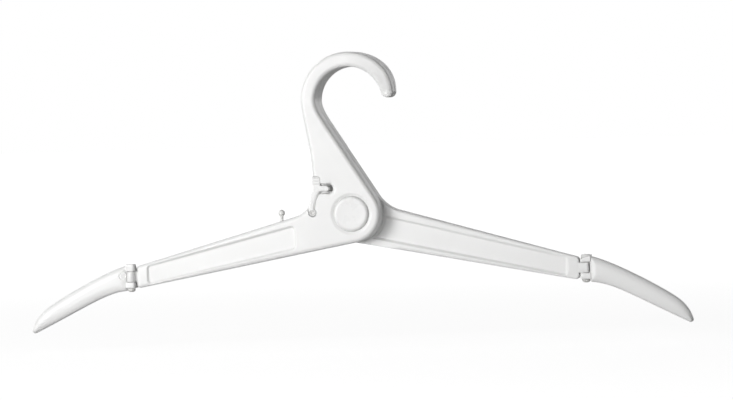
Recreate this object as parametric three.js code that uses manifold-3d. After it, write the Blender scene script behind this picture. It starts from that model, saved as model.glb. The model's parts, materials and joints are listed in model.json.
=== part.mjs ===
// Folding clothes hanger: two stacked hook halves that scissor on one pivot, each with an arm whose
// outer end is a fold-away shoulder wing, and a spring latch that keeps the halves together.
// Millimetres, +Z up, X along the arms, -Y towards the side that carries the latch.
// Outlines are drawn in X and Z about the pivot; the group then moves the rail seat to the origin.
import * as THREE from "three";
import { mergeVertices } from "three/addons/utils/BufferGeometryUtils.js";
import Module from "manifold-3d";

const wasm = await Module();
wasm.setup();

// Fits shared by all pieces
const GAP = 0.3; // between pieces that touch or turn on each other
const REACH = 2; // how far a cut runs past the face that it opens
const WELD = 0.2; // how far two lumps of one moulding run into each other
const FAR = 400; // past every face of the hanger
const RAD = Math.PI / 180;

// Hook
const hook = {
  x: -0.5, // centre of the throat beside the pivot
  z: 74.2, // centre of the throat above the pivot
  throatRadius: 21.8,
  crown: 9.7, // thickness of the hook over the rail
  tipWidth: 7.9,
  tipAngle: 11, // where the round tip starts, degrees up from +X
  flareAngle: 50, // where the tip's taper has grown to the full crown
  topAngle: 90, // where the hook starts to thin towards its tip
  tipDepth: 7.6, // front to back of one half at the tip
};

// Each half at the pivot
const half = {
  depth: 12.1, // front to back
  edgeRadius: 2.4, // rounding of the outer face's edges
  bossRadius: 18.9,
  waistX: -25.3, // left side of the stem above the latch
  waistTop: 27,
  stemSlope: 57.2, // lean of the stem's right side, degrees up from -X
  stemBlend: 8.6, // height over which the stem runs into the throat
  flankMeet: 195, // where the rear half's left flank meets the boss, degrees
  flankTop: 8, // lengths of that flank's two handles
  flankFoot: 10,
};

// Arms, from the pivot outwards
const arm = {
  end: 146.2, // distance of the end face from the pivot
  topAtEnd: -31.5, // height of the top edge there
  slope: 15.7, // fall of the top edge, degrees
  endHeight: 14.6,
  endDepth: 8, // front to back at the end
  endInset: 1.0, // inner face's distance from the parting plane, less half the pivot gap
  taperFrom: 30, // distance from the pivot at which the arm starts to thin
  neckRadius: 25, // fillet between the rear half's stem and its arm
  rimAtRoot: 6.6, // height of the raised rim above the web, where the arm leaves the boss
  rimAtEnd: 2.1,
  footRim: 0.75, // the lower rim's height against the upper one's
  webDepth: 1.7, // how deep each face's web lies under its rim
  webFrom: 38, // where the outer face's web starts
  webTo: 139,
  webCorner: 2.2,
  bossMargin: 1.2, // between the boss and the inner face's web
};

// Fold joint
const pivot = {
  postRadius: 4.7,
  washerOuter: 9.4,
  washerThick: 1.4,
  headRadius: 7.8, // screw head and post flange
  headThick: 1.4,
  headDepth: 3.7, // their seats below the outer faces
  capRadius: 11.6,
  capThick: 2.4,
  capDepth: 1.7, // the caps' seats below the outer faces
  capRim: 1.1,
  screwRadius: 1.5,
  screwLength: 13,
  crossWidth: 1.2,
  crossLength: 4.4,
  fold: 132, // degrees between the halves when the arms are squeezed together
  stopRing: 13.5, // radius on which the stop lug runs
  stopRadius: 1.2,
  stopHeight: 1.9,
  stopAngle: 150, // where the lug stands when the hanger is open
};

// Latch
const latch = {
  x: -25.9, // hinge of the lever
  z: 1.2,
  plateDepth: 4.2, // front to back of the lever's plate, flush with the outer face
  hubRadius: 2.5,
  hubLeave: 50, // where the plate's right side leaves the hub, degrees
  neckHandle: [3.4, 4.5], // from the nose's root to the handle of that side's curve
  padTop: 24.8,
  padRight: -20.2,
  padProud: 0.2, // how far the pad stands past the stem's left side
  noseTop: 18.7,
  noseHeight: 3.2,
  noseTip: -14.6,
  toothGap: 0.3, // clearance between the nose and the rear half
  slotTop: 20.1,
  slotHeight: 6.6,
  slotEnd: -12,
  rearSlotDepth: 4.2,
  groove: 0.6, // clearance round the lever
  throw: 6, // degrees
  flareTop: 15.5, // where the stem's left side starts to lean out
  flareX: -28.6, // where it starts to bend into the arm's top edge
  flareZ: 5.3,
  flareBend: 1.5,
  flareRun: 9.4,
  sleeveRadius: 2.2, // sleeve round the pin behind the plate
  sleeveLength: 2.2,
  columnWall: 1, // of the body's column that holds the pin and the spring
  tailDepth: 3.8, // front to back of the tail inside the arm
  tailRoot: 3.2, // width of the tail where it leaves the sleeve
  tailDrop: 8.2, // the tail's centre line under the hinge
  tailHeight: 3,
  knobX: -47.8,
  knobZ: 1.4,
  knobRadius: 2.2,
  stemRadius: 1.1,
  ribs: 3,
  ribPitch: 1.9,
  ribHeight: 0.8,
  ribProud: 0.25,
  pinRadius: 1.1,
  pinHead: 1.6,
  pinHeadThick: 0.7,
  pinSupport: 1.8, // length of the pin's hole behind the spring
};

// Torsion spring behind the lever's sleeve
const spring = {
  wire: 0.6,
  radius: 2,
  turns: 2,
  pitch: 0.9,
  leg: 1.2,
  stepsPerTurn: 8,
};

// Shoulder wings and their hinges
const wing = {
  axisX: 150.2, // distance of the hinge axis from the pivot
  barrelRadius: 2.8,
  top: -30, // top of the barrel
  bottom: -45.9,
  upperEar: 4.8,
  lowerEar: 3.9,
  earReach: 0.8, // how far the ears run into the plate
  edgeRadius: 2.2,
  rootTop: -31.2, // the plate's edges beside the hinge
  rootFoot: -47.8,
  reach: 220, // distance of the tip from the pivot
  tipZ: -74.9, // lowest point of the tip
  tipRadius: 2.4,
  bend: 0.728, // share of the wing's length at which the upper edge starts to turn down
  bendRise: 21.7, // height above the tip there
  highSlope: 30.5, // fall of the upper edge there, degrees
  lowSlope: 25.5, // fall of the lower edge into the tip
  noseLean: 16.8, // lean of the front of the tip
  noseRise: 8.8, // height over which it leans so
  hollow: 1.4, // dip of the lower edge beside the hinge
  sag: 3, // dip of the upper edge beside the hinge
  lowRootShare: 0.247, // lengths of the curves' handles as shares of what they run over
  lowTipShare: 0.562,
  leanShare: 0.607,
  highShare: 0.271,
  pinRadius: 1.3,
  domeRadius: 2.7,
  domeHeight: 2.2,
  ringOut: 6, // centre of the round groove outboard of the axis
  ringDown: 7.8,
  ringRadius: 2.6,
  ringWidth: 0.9,
  ringDepth: 0.7,
};

// Counts that set how fine the faces are
const ARC_STEPS = 10;
const WING_STEPS = 6;
const ROUND_STEPS = 24;
const EDGE_STEPS = 3;

// Derived places
const SPLIT = 0.2; // each half's distance from the parting plane
const boreRadius = pivot.postRadius + GAP;
const outerFace = SPLIT + half.depth;
const armOuter = SPLIT + arm.endInset + arm.endDepth;
const armInner = SPLIT + arm.endInset;
const wingAxisY = armOuter + GAP;
const rootGap = wing.barrelRadius + GAP + 0.2;
const seatZ = hook.z + hook.throatRadius;

const material = (color, roughness, metalness = 0) =>
  new THREE.MeshStandardMaterial({ color, roughness, metalness });
const whitePlastic = material(0xf1f1ef, 0.38);
const capPlastic = material(0xf3f3f2, 0.32);
const knobPlastic = material(0xdcdcd8, 0.45);
const nylon = material(0xe9e6da, 0.5);
const steel = material(0xb9bcc0, 0.35, 1);

// Solids

function solid(geometry) {
  const bare = new THREE.BufferGeometry();
  bare.setAttribute("position", geometry.getAttribute("position").clone());
  if (geometry.index) bare.setIndex(geometry.index.clone());
  const merged = mergeVertices(bare, 1e-4);
  return new wasm.Manifold(
    new wasm.Mesh({
      numProp: 3,
      vertProperties: new Float32Array(merged.getAttribute("position").array),
      triVerts: new Uint32Array(merged.index.array),
    }),
  );
}

function geometryOf(body) {
  const mesh = body.getMesh();
  const geometry = new THREE.BufferGeometry();
  const positions = new Float32Array(mesh.numVert * 3);
  for (let i = 0; i < mesh.numVert; i += 1) {
    for (let k = 0; k < 3; k += 1) {
      positions[3 * i + k] = mesh.vertProperties[i * mesh.numProp + k];
    }
  }
  geometry.setAttribute("position", new THREE.BufferAttribute(positions, 3));
  geometry.setIndex(new THREE.BufferAttribute(new Uint32Array(mesh.triVerts), 1));
  return geometry;
}

// A prism of an X-Z outline between two Y values, with its far edges rounded where a radius is given
function plate(shape, yFrom, yTo, radius = 0, curveSegments = ARC_STEPS) {
  const geometry = new THREE.ExtrudeGeometry(shape, {
    depth: yTo - yFrom - 2 * radius,
    curveSegments,
    bevelEnabled: radius > 0,
    bevelThickness: radius,
    bevelSize: radius,
    bevelOffset: -radius,
    bevelSegments: EDGE_STEPS,
  });
  // The shape's Z runs towards -Y after this turn, so the prism is placed by its far face
  geometry.rotateX(Math.PI / 2);
  geometry.translate(0, yTo - radius, 0);
  return solid(geometry);
}

function block(x0, x1, y0, y1, z0, z1) {
  const geometry = new THREE.BoxGeometry(x1 - x0, y1 - y0, z1 - z0);
  geometry.translate((x0 + x1) / 2, (y0 + y1) / 2, (z0 + z1) / 2);
  return solid(geometry);
}

// A cylinder along Y between two Y values
function rod(x, z, radius, y0, y1) {
  const geometry = new THREE.CylinderGeometry(radius, radius, y1 - y0, ROUND_STEPS);
  geometry.translate(x, (y0 + y1) / 2, z);
  return solid(geometry);
}

// A cylinder along Z between two Z values
function post(x, y, radius, z0, z1) {
  const geometry = new THREE.CylinderGeometry(radius, radius, z1 - z0, ROUND_STEPS);
  geometry.rotateX(Math.PI / 2);
  geometry.translate(x, y, (z0 + z1) / 2);
  return solid(geometry);
}

// A solid of revolution about Z from radius-height pairs that start and end on the axis
function turned(profile, segments = ROUND_STEPS) {
  const points = profile.map(([r, h]) => new THREE.Vector2(r, h));
  const geometry = new THREE.LatheGeometry(points, segments);
  geometry.rotateX(Math.PI / 2);
  return geometry;
}

// Outlines

function circle(radius, angle, x = 0, z = 0) {
  return [x + radius * Math.cos(angle * RAD), z + radius * Math.sin(angle * RAD)];
}

const armTop = (x) => arm.topAtEnd + Math.tan(arm.slope * RAD) * (arm.end - Math.abs(x));

// The arm's lower edge runs from its end to a tangent of the boss
const armFoot = arm.topAtEnd - arm.endHeight;
const footReach = Math.hypot(arm.end, armFoot);
const footSlope = Math.atan2(-armFoot, arm.end) - Math.asin(half.bossRadius / footReach);
const armBottom = (x) => armFoot + Math.tan(footSlope) * (arm.end - Math.abs(x));

// The stem's right side is a tangent of the boss too
const stemAngle = 90 - half.stemSlope;
const [stemX, stemZ] = circle(half.bossRadius, stemAngle);
const stemAt = (z) => stemX - (z - stemZ) / Math.tan(half.stemSlope * RAD);
const throatLeft = hook.x - hook.throatRadius;
const stemCorner = stemZ + (stemX - throatLeft) * Math.tan(half.stemSlope * RAD);

// Stem's right side, throat, tip, crown and the stem's left side down to the waist
function hookOutline(shape) {
  const blendZ = stemCorner - half.stemBlend;
  shape.lineTo(stemAt(blendZ), blendZ);
  shape.quadraticCurveTo(throatLeft, stemCorner, throatLeft, hook.z);
  const tip = hook.tipAngle * RAD;
  shape.absarc(hook.x, hook.z, hook.throatRadius, Math.PI, tip, true);
  const tipMid = hook.throatRadius + hook.tipWidth / 2;
  const [tx, tz] = circle(tipMid, hook.tipAngle, hook.x, hook.z);
  shape.absarc(tx, tz, hook.tipWidth / 2, Math.PI + tip, 2 * Math.PI + tip, false);
  const outer = hook.throatRadius + hook.crown;
  const taper = hook.crown - hook.tipWidth;
  const steps = ARC_STEPS / 2;
  for (let i = 1; i <= steps; i += 1) {
    const share = i / steps;
    const angle = hook.tipAngle + (hook.flareAngle - hook.tipAngle) * share;
    shape.lineTo(...circle(outer - taper * (1 - share) ** 2, angle, hook.x, hook.z));
  }
  shape.absarc(hook.x, hook.z, outer, hook.flareAngle * RAD, Math.PI, false);
  const left = hook.x - outer;
  const drop = hook.z - half.waistTop;
  shape.bezierCurveTo(
    left + 0.2, hook.z - 0.17 * drop,
    half.waistX - 0.9, half.waistTop + 0.4 * drop,
    half.waistX, half.waistTop,
  );
}

function frontOutline() {
  const shape = new THREE.Shape();
  shape.moveTo(stemX, stemZ);
  hookOutline(shape);
  shape.lineTo(half.waistX, latch.flareTop);
  shape.lineTo(latch.flareX, latch.flareZ);
  const lean = (half.waistX - latch.flareX) / (latch.flareTop - latch.flareZ);
  const armX = latch.flareX - latch.flareRun;
  const handleX = armX + latch.flareRun / 2;
  shape.bezierCurveTo(
    latch.flareX - lean * latch.flareBend, latch.flareZ - latch.flareBend,
    handleX, armTop(handleX),
    armX, armTop(armX),
  );
  shape.lineTo(-arm.end, arm.topAtEnd);
  shape.lineTo(-arm.end, armFoot);
  const foot = footSlope - Math.PI / 2;
  shape.lineTo(half.bossRadius * Math.cos(foot), half.bossRadius * Math.sin(foot));
  shape.absarc(0, 0, half.bossRadius, foot, stemAngle * RAD, false);
  return shape;
}

function rearOutline() {
  // The stem and the arm's top edge meet at a corner that a fillet rounds
  const rise = Math.tan(half.stemSlope * RAD);
  const slope = Math.tan(arm.slope * RAD);
  const cornerX = (stemZ + rise * stemX - armTop(0)) / (rise - slope);
  const cornerZ = armTop(cornerX);
  const run = arm.neckRadius * Math.tan(((half.stemSlope - arm.slope) / 2) * RAD);
  const armX = cornerX + run * Math.cos(arm.slope * RAD);
  const topX = cornerX - run * Math.cos(half.stemSlope * RAD);
  const shape = new THREE.Shape();
  shape.moveTo(armX, armTop(armX));
  shape.quadraticCurveTo(cornerX, cornerZ, topX, cornerZ + run * Math.sin(half.stemSlope * RAD));
  hookOutline(shape);
  shape.lineTo(half.waistX, latch.slotTop);
  const meet = half.flankMeet;
  const [mx, mz] = circle(half.bossRadius, meet);
  const [cx, cz] = circle(half.flankFoot, meet - 90, mx, mz);
  shape.bezierCurveTo(half.waistX, latch.slotTop - half.flankTop, cx, cz, mx, mz);
  shape.absarc(0, 0, half.bossRadius, meet * RAD, 1.5 * Math.PI - footSlope, false);
  shape.lineTo(arm.end, armFoot);
  shape.lineTo(arm.end, arm.topAtEnd);
  return shape;
}

// The sunk web of an arm: its rims thin in a straight line from the boss to the end
const rimFall = (arm.rimAtRoot - arm.rimAtEnd) / (arm.webTo - half.bossRadius);
const rimAt = (x) => arm.rimAtEnd + rimFall * (arm.webTo - x);
const webTop = (x) => armTop(x) - rimAt(x);
const webBottom = (x) => armBottom(x) + arm.footRim * rimAt(x);

// Where a straight line, given by its heights, leaves the circle round the boss
function leavesBoss(line) {
  const radius = half.bossRadius + arm.bossMargin;
  const rise = line(0);
  const slope = line(1) - rise;
  const square = 1 + slope ** 2;
  const x = (Math.sqrt(radius ** 2 * square - rise ** 2) - rise * slope) / square;
  return [x, line(x)];
}

// The web of one face; the inner face's web starts round the boss
function webOutline(side, inner) {
  const shape = new THREE.Shape();
  const corner = arm.webCorner;
  const at = (x, z) => [side * x, z];
  const end = arm.webTo;
  const from = arm.webFrom;
  const [topX, topZ] = inner ? leavesBoss(webTop) : [from + corner, webTop(from + corner)];
  shape.moveTo(...at(topX, topZ));
  shape.lineTo(...at(end - corner, webTop(end - corner)));
  shape.quadraticCurveTo(...at(end, webTop(end)), ...at(end, webTop(end) - corner));
  shape.lineTo(...at(end, webBottom(end) + corner));
  shape.quadraticCurveTo(...at(end, webBottom(end)), ...at(end - corner, webBottom(end - corner)));
  if (inner) {
    const [footX, footZ] = leavesBoss(webBottom);
    const radius = half.bossRadius + arm.bossMargin;
    const turn = (x, z) => Math.atan2(z, side * x);
    shape.lineTo(...at(footX, footZ));
    shape.absarc(0, 0, radius, turn(footX, footZ), turn(topX, topZ), side < 0);
    return shape;
  }
  shape.lineTo(...at(from + corner, webBottom(from + corner)));
  shape.quadraticCurveTo(...at(from, webBottom(from)), ...at(from, webBottom(from) + corner));
  shape.lineTo(...at(from, webTop(from) - corner));
  shape.quadraticCurveTo(...at(from, webTop(from)), ...at(topX, topZ));
  return shape;
}

// The lever's plate with its pad, nose and hub, grown by a clearance for its pocket
function plateOutline(grow) {
  const shape = new THREE.Shape();
  const left = half.waistX - latch.padProud - grow;
  const right = latch.padRight + grow;
  const tipRadius = latch.noseHeight / 2 + grow;
  const noseMid = latch.noseTop - latch.noseHeight / 2;
  const noseX = latch.noseTip - latch.noseHeight / 2;
  const hub = latch.hubRadius + grow;
  const [handleX, handleZ] = latch.neckHandle;
  shape.moveTo(left, latch.padTop + grow);
  shape.lineTo(left, latch.flareTop);
  shape.lineTo(latch.flareX - latch.padProud - grow, latch.flareZ);
  shape.lineTo(latch.x - hub, latch.z);
  shape.absarc(latch.x, latch.z, hub, Math.PI, 2 * Math.PI + latch.hubLeave * RAD, false);
  shape.quadraticCurveTo(
    right - handleX, noseMid - tipRadius - handleZ,
    right, noseMid - tipRadius,
  );
  shape.lineTo(noseX, noseMid - tipRadius);
  shape.absarc(noseX, noseMid, tipRadius, -Math.PI / 2, Math.PI / 2, false);
  shape.lineTo(right, noseMid + tipRadius);
  shape.lineTo(right, latch.padTop + grow);
  return shape;
}

// The lever's tail, an L that runs inside the arm from the sleeve to the knob
function tailOutline(grow) {
  const shape = new THREE.Shape();
  const width = latch.tailRoot / 2 + grow;
  const mid = latch.z - latch.tailDrop;
  const radius = latch.tailHeight / 2 + grow;
  const end = latch.knobX - latch.stemRadius - 0.8;
  shape.moveTo(latch.x - width, latch.z);
  shape.lineTo(latch.x - width, mid + radius);
  shape.lineTo(end, mid + radius);
  shape.absarc(end, mid, radius, Math.PI / 2, 1.5 * Math.PI, false);
  shape.lineTo(latch.x + width, mid - radius);
  shape.lineTo(latch.x + width, latch.z);
  return shape;
}

// The latch's U-shaped slot, open through the stem's left side
function slotOutline() {
  const shape = new THREE.Shape();
  const radius = latch.slotHeight / 2;
  const mid = latch.slotTop - radius;
  const open = half.waistX - 8;
  shape.moveTo(open, latch.slotTop);
  shape.lineTo(open, latch.slotTop - latch.slotHeight);
  shape.absarc(latch.slotEnd - radius, mid, radius, -Math.PI / 2, Math.PI / 2, false);
  return shape;
}

// A bent slot concentric with the pivot
function arcSlot(ring, halfWidth, from, to) {
  const shape = new THREE.Shape();
  const [sx, sz] = circle(ring, from);
  const [ex, ez] = circle(ring, to);
  shape.moveTo(...circle(ring + halfWidth, from));
  shape.absarc(0, 0, ring + halfWidth, from * RAD, to * RAD, true);
  shape.absarc(ex, ez, halfWidth, to * RAD, to * RAD - Math.PI, true);
  shape.absarc(0, 0, ring - halfWidth, to * RAD, from * RAD, false);
  shape.absarc(sx, sz, halfWidth, from * RAD + Math.PI, from * RAD, true);
  return shape;
}

// Depths

const clamp01 = (value) => Math.min(1, Math.max(0, value));

// Moves a half's faces in: the hook thins to its tip and the arm to its end. side is -1 or 1
function thin(body, side) {
  const geometry = geometryOf(body);
  const position = geometry.getAttribute("position");
  for (let i = 0; i < position.count; i += 1) {
    const x = position.getX(i);
    const y = position.getY(i) * side;
    const z = position.getZ(i);
    const share = (y - SPLIT) / half.depth;
    const along = clamp01((side * x - arm.taperFrom) / (arm.end - arm.taperFrom));
    const turn = Math.atan2(z - hook.z, x - hook.x) / RAD;
    const inHook = z > hook.z - hook.tipWidth && x > hook.x;
    const towardsTip = inHook ? clamp01((hook.topAngle - turn) / (hook.topAngle - hook.tipAngle)) : 0;
    const low = SPLIT + arm.endInset * along;
    const tipLoss = (half.depth - hook.tipDepth) * towardsTip * towardsTip;
    const high = outerFace + (armOuter - outerFace) * along - tipLoss;
    position.setY(i, side * (low + (high - low) * share));
  }
  return solid(geometry);
}

// Signed span of Y on one side of the parting plane, given from inside out
const span = (side, from, to) => (side > 0 ? [from, to] : [-to, -from]);

// Pieces

function hookHalf(outline, side) {
  const [y0, y1] = span(side, SPLIT - REACH * 2, outerFace);
  const [keep0, keep1] = span(side, SPLIT, outerFace + REACH);
  let body = plate(outline, y0, y1, half.edgeRadius);
  body = body.intersect(block(-FAR, FAR, keep0, keep1, -FAR, FAR));
  const webs = [
    plate(webOutline(side, false), ...span(side, outerFace - arm.webDepth, outerFace + REACH)),
    plate(webOutline(side, true), ...span(side, SPLIT - REACH, SPLIT + arm.webDepth)),
  ];
  return thin(webs.reduce((rest, web) => rest.subtract(web), body), side);
}

// Bores and seats of the fold joint in one half
function boreHalf(body, side) {
  const cuts = [
    rod(0, 0, boreRadius, ...span(side, -REACH, outerFace + REACH)),
    rod(0, 0, pivot.washerOuter + GAP, ...span(side, -REACH, pivot.washerThick / 2 + GAP)),
    rod(0, 0, pivot.headRadius + GAP, ...span(side, outerFace - pivot.headDepth, outerFace + REACH)),
    rod(0, 0, pivot.capRadius + GAP, ...span(side, outerFace - pivot.capDepth, outerFace + REACH)),
  ];
  return cuts.reduce((rest, cut) => rest.subtract(cut), body);
}

// The arm's knuckle between the wing's two ears
function addKnuckle(body, side) {
  const z0 = wing.bottom + wing.lowerEar + GAP;
  const z1 = wing.top - wing.upperEar - GAP;
  const x = side * wing.axisX;
  const inner = x - side * (rootGap + REACH * 2);
  const outer = x + side * wing.barrelRadius;
  const neck = block(
    Math.min(inner, outer), Math.max(inner, outer),
    ...span(side, armInner, wingAxisY), z0, z1,
  );
  const barrel = post(x, side * wingAxisY, wing.barrelRadius, z0, z1);
  const bore = post(x, side * wingAxisY, wing.pinRadius + GAP, z0 - REACH, z1 + REACH);
  return body.add(neck).add(barrel).subtract(bore);
}

function turnedAboutLatch(body, degrees) {
  const geometry = geometryOf(body);
  geometry.translate(-latch.x, 0, -latch.z);
  geometry.rotateY(-degrees * RAD);
  geometry.translate(latch.x, 0, latch.z);
  return solid(geometry);
}

const plateBack = outerFace - latch.plateDepth;
const tailBack = plateBack - latch.tailDepth;
const wellRadius = spring.radius + spring.wire / 2 + 0.4;
const sleeveBack = plateBack - latch.sleeveLength;
const wellFloor = sleeveBack - GAP - spring.turns * spring.pitch - spring.wire - 2 * GAP;
const columnRadius = wellRadius + latch.columnWall;

function frontHalf() {
  const side = -1;
  let body = addKnuckle(boreHalf(hookHalf(frontOutline(), side), side), side);
  // A column is left round the pin behind the sleeve
  const column = rod(latch.x, latch.z, columnRadius, ...span(side, -2 * REACH, sleeveBack - GAP));
  const pockets = [
    plate(plateOutline(latch.groove), ...span(side, plateBack - GAP, outerFace + REACH)),
    plate(tailOutline(latch.groove), ...span(side, -REACH, plateBack + WELD + GAP)).subtract(column),
  ];
  for (const pocket of pockets) {
    for (const share of [0, 0.5, 1]) {
      body = body.subtract(turnedAboutLatch(pocket, share * latch.throw));
    }
  }
  body = body.subtract(plate(slotOutline(), ...span(side, -REACH, outerFace + REACH)));
  // The knob's stem passes through a gate in the arm's top edge
  const gate = latch.stemRadius + GAP;
  const sway = latch.tailDrop * Math.sin(latch.throw * RAD);
  const gateMid = (plateBack + tailBack) / 2;
  return [
    block(
      latch.knobX - gate, latch.knobX + gate + sway,
      ...span(side, gateMid - gate, gateMid + gate), latch.z - latch.tailDrop, latch.knobZ + REACH,
    ),
    rod(latch.x, latch.z, wellRadius, ...span(side, wellFloor, outerFace)),
    rod(latch.x, latch.z, latch.pinRadius + GAP, ...span(side, wellFloor - latch.pinSupport, outerFace)),
    plate(stopTrack(), ...span(side, -REACH, pivot.stopHeight - SPLIT + GAP)),
  ].reduce((rest, cut) => rest.subtract(cut), body);
}

// The groove in which the rear half's stop lug runs
function stopTrack() {
  const slack = GAP / pivot.stopRing / RAD;
  const from = pivot.stopAngle + slack;
  const to = pivot.stopAngle - pivot.fold - slack;
  return arcSlot(pivot.stopRing, pivot.stopRadius + GAP, from, to);
}

function rearHalf() {
  const side = 1;
  let body = addKnuckle(boreHalf(hookHalf(rearOutline(), side), side), side);
  body = body.subtract(plate(slotOutline(), ...span(side, -REACH, SPLIT + latch.rearSlotDepth)));
  const [x, z] = circle(pivot.stopRing, pivot.stopAngle);
  return body.add(rod(x, z, pivot.stopRadius, SPLIT - pivot.stopHeight, SPLIT + 1));
}

// The post's flange sits in the rear half, its bore takes the screw from the front
function pivotPost() {
  const seat = outerFace - pivot.headDepth;
  const flangeIn = seat + GAP;
  const end = -seat;
  const flange = rod(0, 0, pivot.headRadius, flangeIn, flangeIn + pivot.headThick);
  const stem = rod(0, 0, pivot.postRadius, end, flangeIn + 0.5);
  const bore = rod(0, 0, pivot.screwRadius + GAP, end - REACH, end + pivot.screwLength);
  return flange.add(stem).subtract(bore);
}

function pivotScrew() {
  const head = -(outerFace - pivot.headDepth + GAP);
  const cross = pivot.crossLength / 2;
  const wide = pivot.crossWidth / 2;
  const top = head - pivot.headThick;
  return rod(0, 0, pivot.headRadius, top, head)
    .add(rod(0, 0, pivot.screwRadius, head - 0.5, head + pivot.screwLength - 1))
    .subtract(block(-cross, cross, top - REACH, top + 0.8, -wide, wide))
    .subtract(block(-wide, wide, top - REACH, top + 0.8, -cross, cross));
}

function washer() {
  const t = pivot.washerThick / 2;
  return rod(0, 0, pivot.washerOuter, -t, t).subtract(rod(0, 0, boreRadius + GAP, -REACH, REACH));
}

// A disc with a rounded rim; height runs outwards from the seat
function pivotCap(side) {
  const rim = pivot.capRim;
  const profile = [[0, 0], [pivot.capRadius, 0], [pivot.capRadius, pivot.capThick - rim]];
  const steps = EDGE_STEPS + 1;
  for (let i = 1; i <= steps; i += 1) {
    const turn = (90 * i * RAD) / steps;
    profile.push([
      pivot.capRadius - rim * (1 - Math.cos(turn)),
      pivot.capThick - rim * (1 - Math.sin(turn)),
    ]);
  }
  profile.push([0, pivot.capThick]);
  const geometry = turned(profile, ROUND_STEPS + ROUND_STEPS / 3);
  geometry.rotateX((-side * Math.PI) / 2);
  geometry.translate(0, side * (outerFace - pivot.capDepth + GAP), 0);
  return solid(geometry);
}

function latchLever() {
  const [y0, y1] = span(-1, plateBack, outerFace);
  const clear = rod(
    latch.x, latch.z, columnRadius + GAP, ...span(-1, tailBack - REACH, sleeveBack),
  );
  const tail = plate(tailOutline(0), ...span(-1, tailBack, plateBack + WELD)).subtract(clear);
  const sleeve = rod(
    latch.x, latch.z, latch.sleeveRadius, ...span(-1, sleeveBack, plateBack + WELD),
  );
  let body = plate(plateOutline(0), y0, y1).add(tail).add(sleeve);
  // The tooth is the nose carried on towards the rear half
  const radius = latch.noseHeight / 2;
  const mid = latch.noseTop - radius;
  const root = latch.padRight - 1.5;
  const tooth = new THREE.Shape();
  tooth.moveTo(root, mid + radius);
  tooth.lineTo(root, mid - radius);
  tooth.absarc(latch.noseTip - radius, mid, radius, -Math.PI / 2, Math.PI / 2, false);
  body = body.add(plate(tooth, ...span(-1, SPLIT + latch.toothGap, plateBack + WELD)));
  const left = half.waistX - latch.padProud;
  for (let i = 0; i < latch.ribs; i += 1) {
    const z = latch.padTop - latch.ribHeight / 2 - i * latch.ribPitch;
    body = body.add(
      block(
        left - latch.ribProud, latch.padRight - latch.ribProud,
        y0 - latch.ribProud, y0 + 2, z - latch.ribHeight, z,
      ),
    );
  }
  const knobY = -(plateBack + tailBack) / 2;
  const tailZ = latch.z - latch.tailDrop;
  return [
    rod(latch.x, latch.z, latch.pinRadius + GAP, y0 - REACH, -sleeveBack + REACH),
    rod(latch.x, latch.z, latch.pinHead + GAP, y0 - REACH, y0 + latch.pinHeadThick),
    post(latch.knobX, knobY, latch.stemRadius + GAP, tailZ, latch.knobZ),
  ].reduce((rest, cut) => rest.subtract(cut), body);
}

function latchPin() {
  const front = -outerFace + GAP;
  const seat = front + latch.pinHeadThick - 2 * GAP;
  return rod(latch.x, latch.z, latch.pinHead, front, seat).add(
    rod(latch.x, latch.z, latch.pinRadius, seat - 0.2, -(wellFloor - latch.pinSupport + GAP)),
  );
}

function releaseKnob() {
  const y = -(plateBack + tailBack) / 2;
  const foot = latch.z - latch.tailDrop + GAP;
  const ball = new THREE.SphereGeometry(latch.knobRadius, 16, 10);
  ball.translate(latch.knobX, y, latch.knobZ);
  return solid(ball).add(post(latch.knobX, y, latch.stemRadius, foot, latch.knobZ));
}

// Helix about Y with a straight leg at each end
class TorsionPath extends THREE.Curve {
  getPoint(t, target = new THREE.Vector3()) {
    const turning = 2 * Math.PI * spring.turns;
    const coil = spring.radius * turning;
    const total = coil + 2 * spring.leg;
    const along = t * total;
    const inCoil = Math.min(coil, Math.max(0, along - spring.leg));
    const angle = inCoil / spring.radius;
    const x = spring.radius * Math.cos(angle);
    const z = spring.radius * Math.sin(angle);
    const past = along - spring.leg - inCoil;
    const y = (spring.pitch * angle) / (2 * Math.PI);
    return target.set(x - Math.sin(angle) * past, y, z + Math.cos(angle) * past);
  }
}

function latchSpring() {
  const section = new THREE.Shape();
  section.absarc(0, 0, spring.wire / 2, 0, 2 * Math.PI, false);
  const geometry = new THREE.ExtrudeGeometry(section, {
    steps: spring.turns * spring.stepsPerTurn + 6,
    curveSegments: 3,
    bevelEnabled: false,
    extrudePath: new TorsionPath(),
  });
  const front = -(sleeveBack - 2 * GAP - spring.wire / 2);
  geometry.translate(latch.x, front, latch.z);
  return solid(geometry);
}

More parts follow.
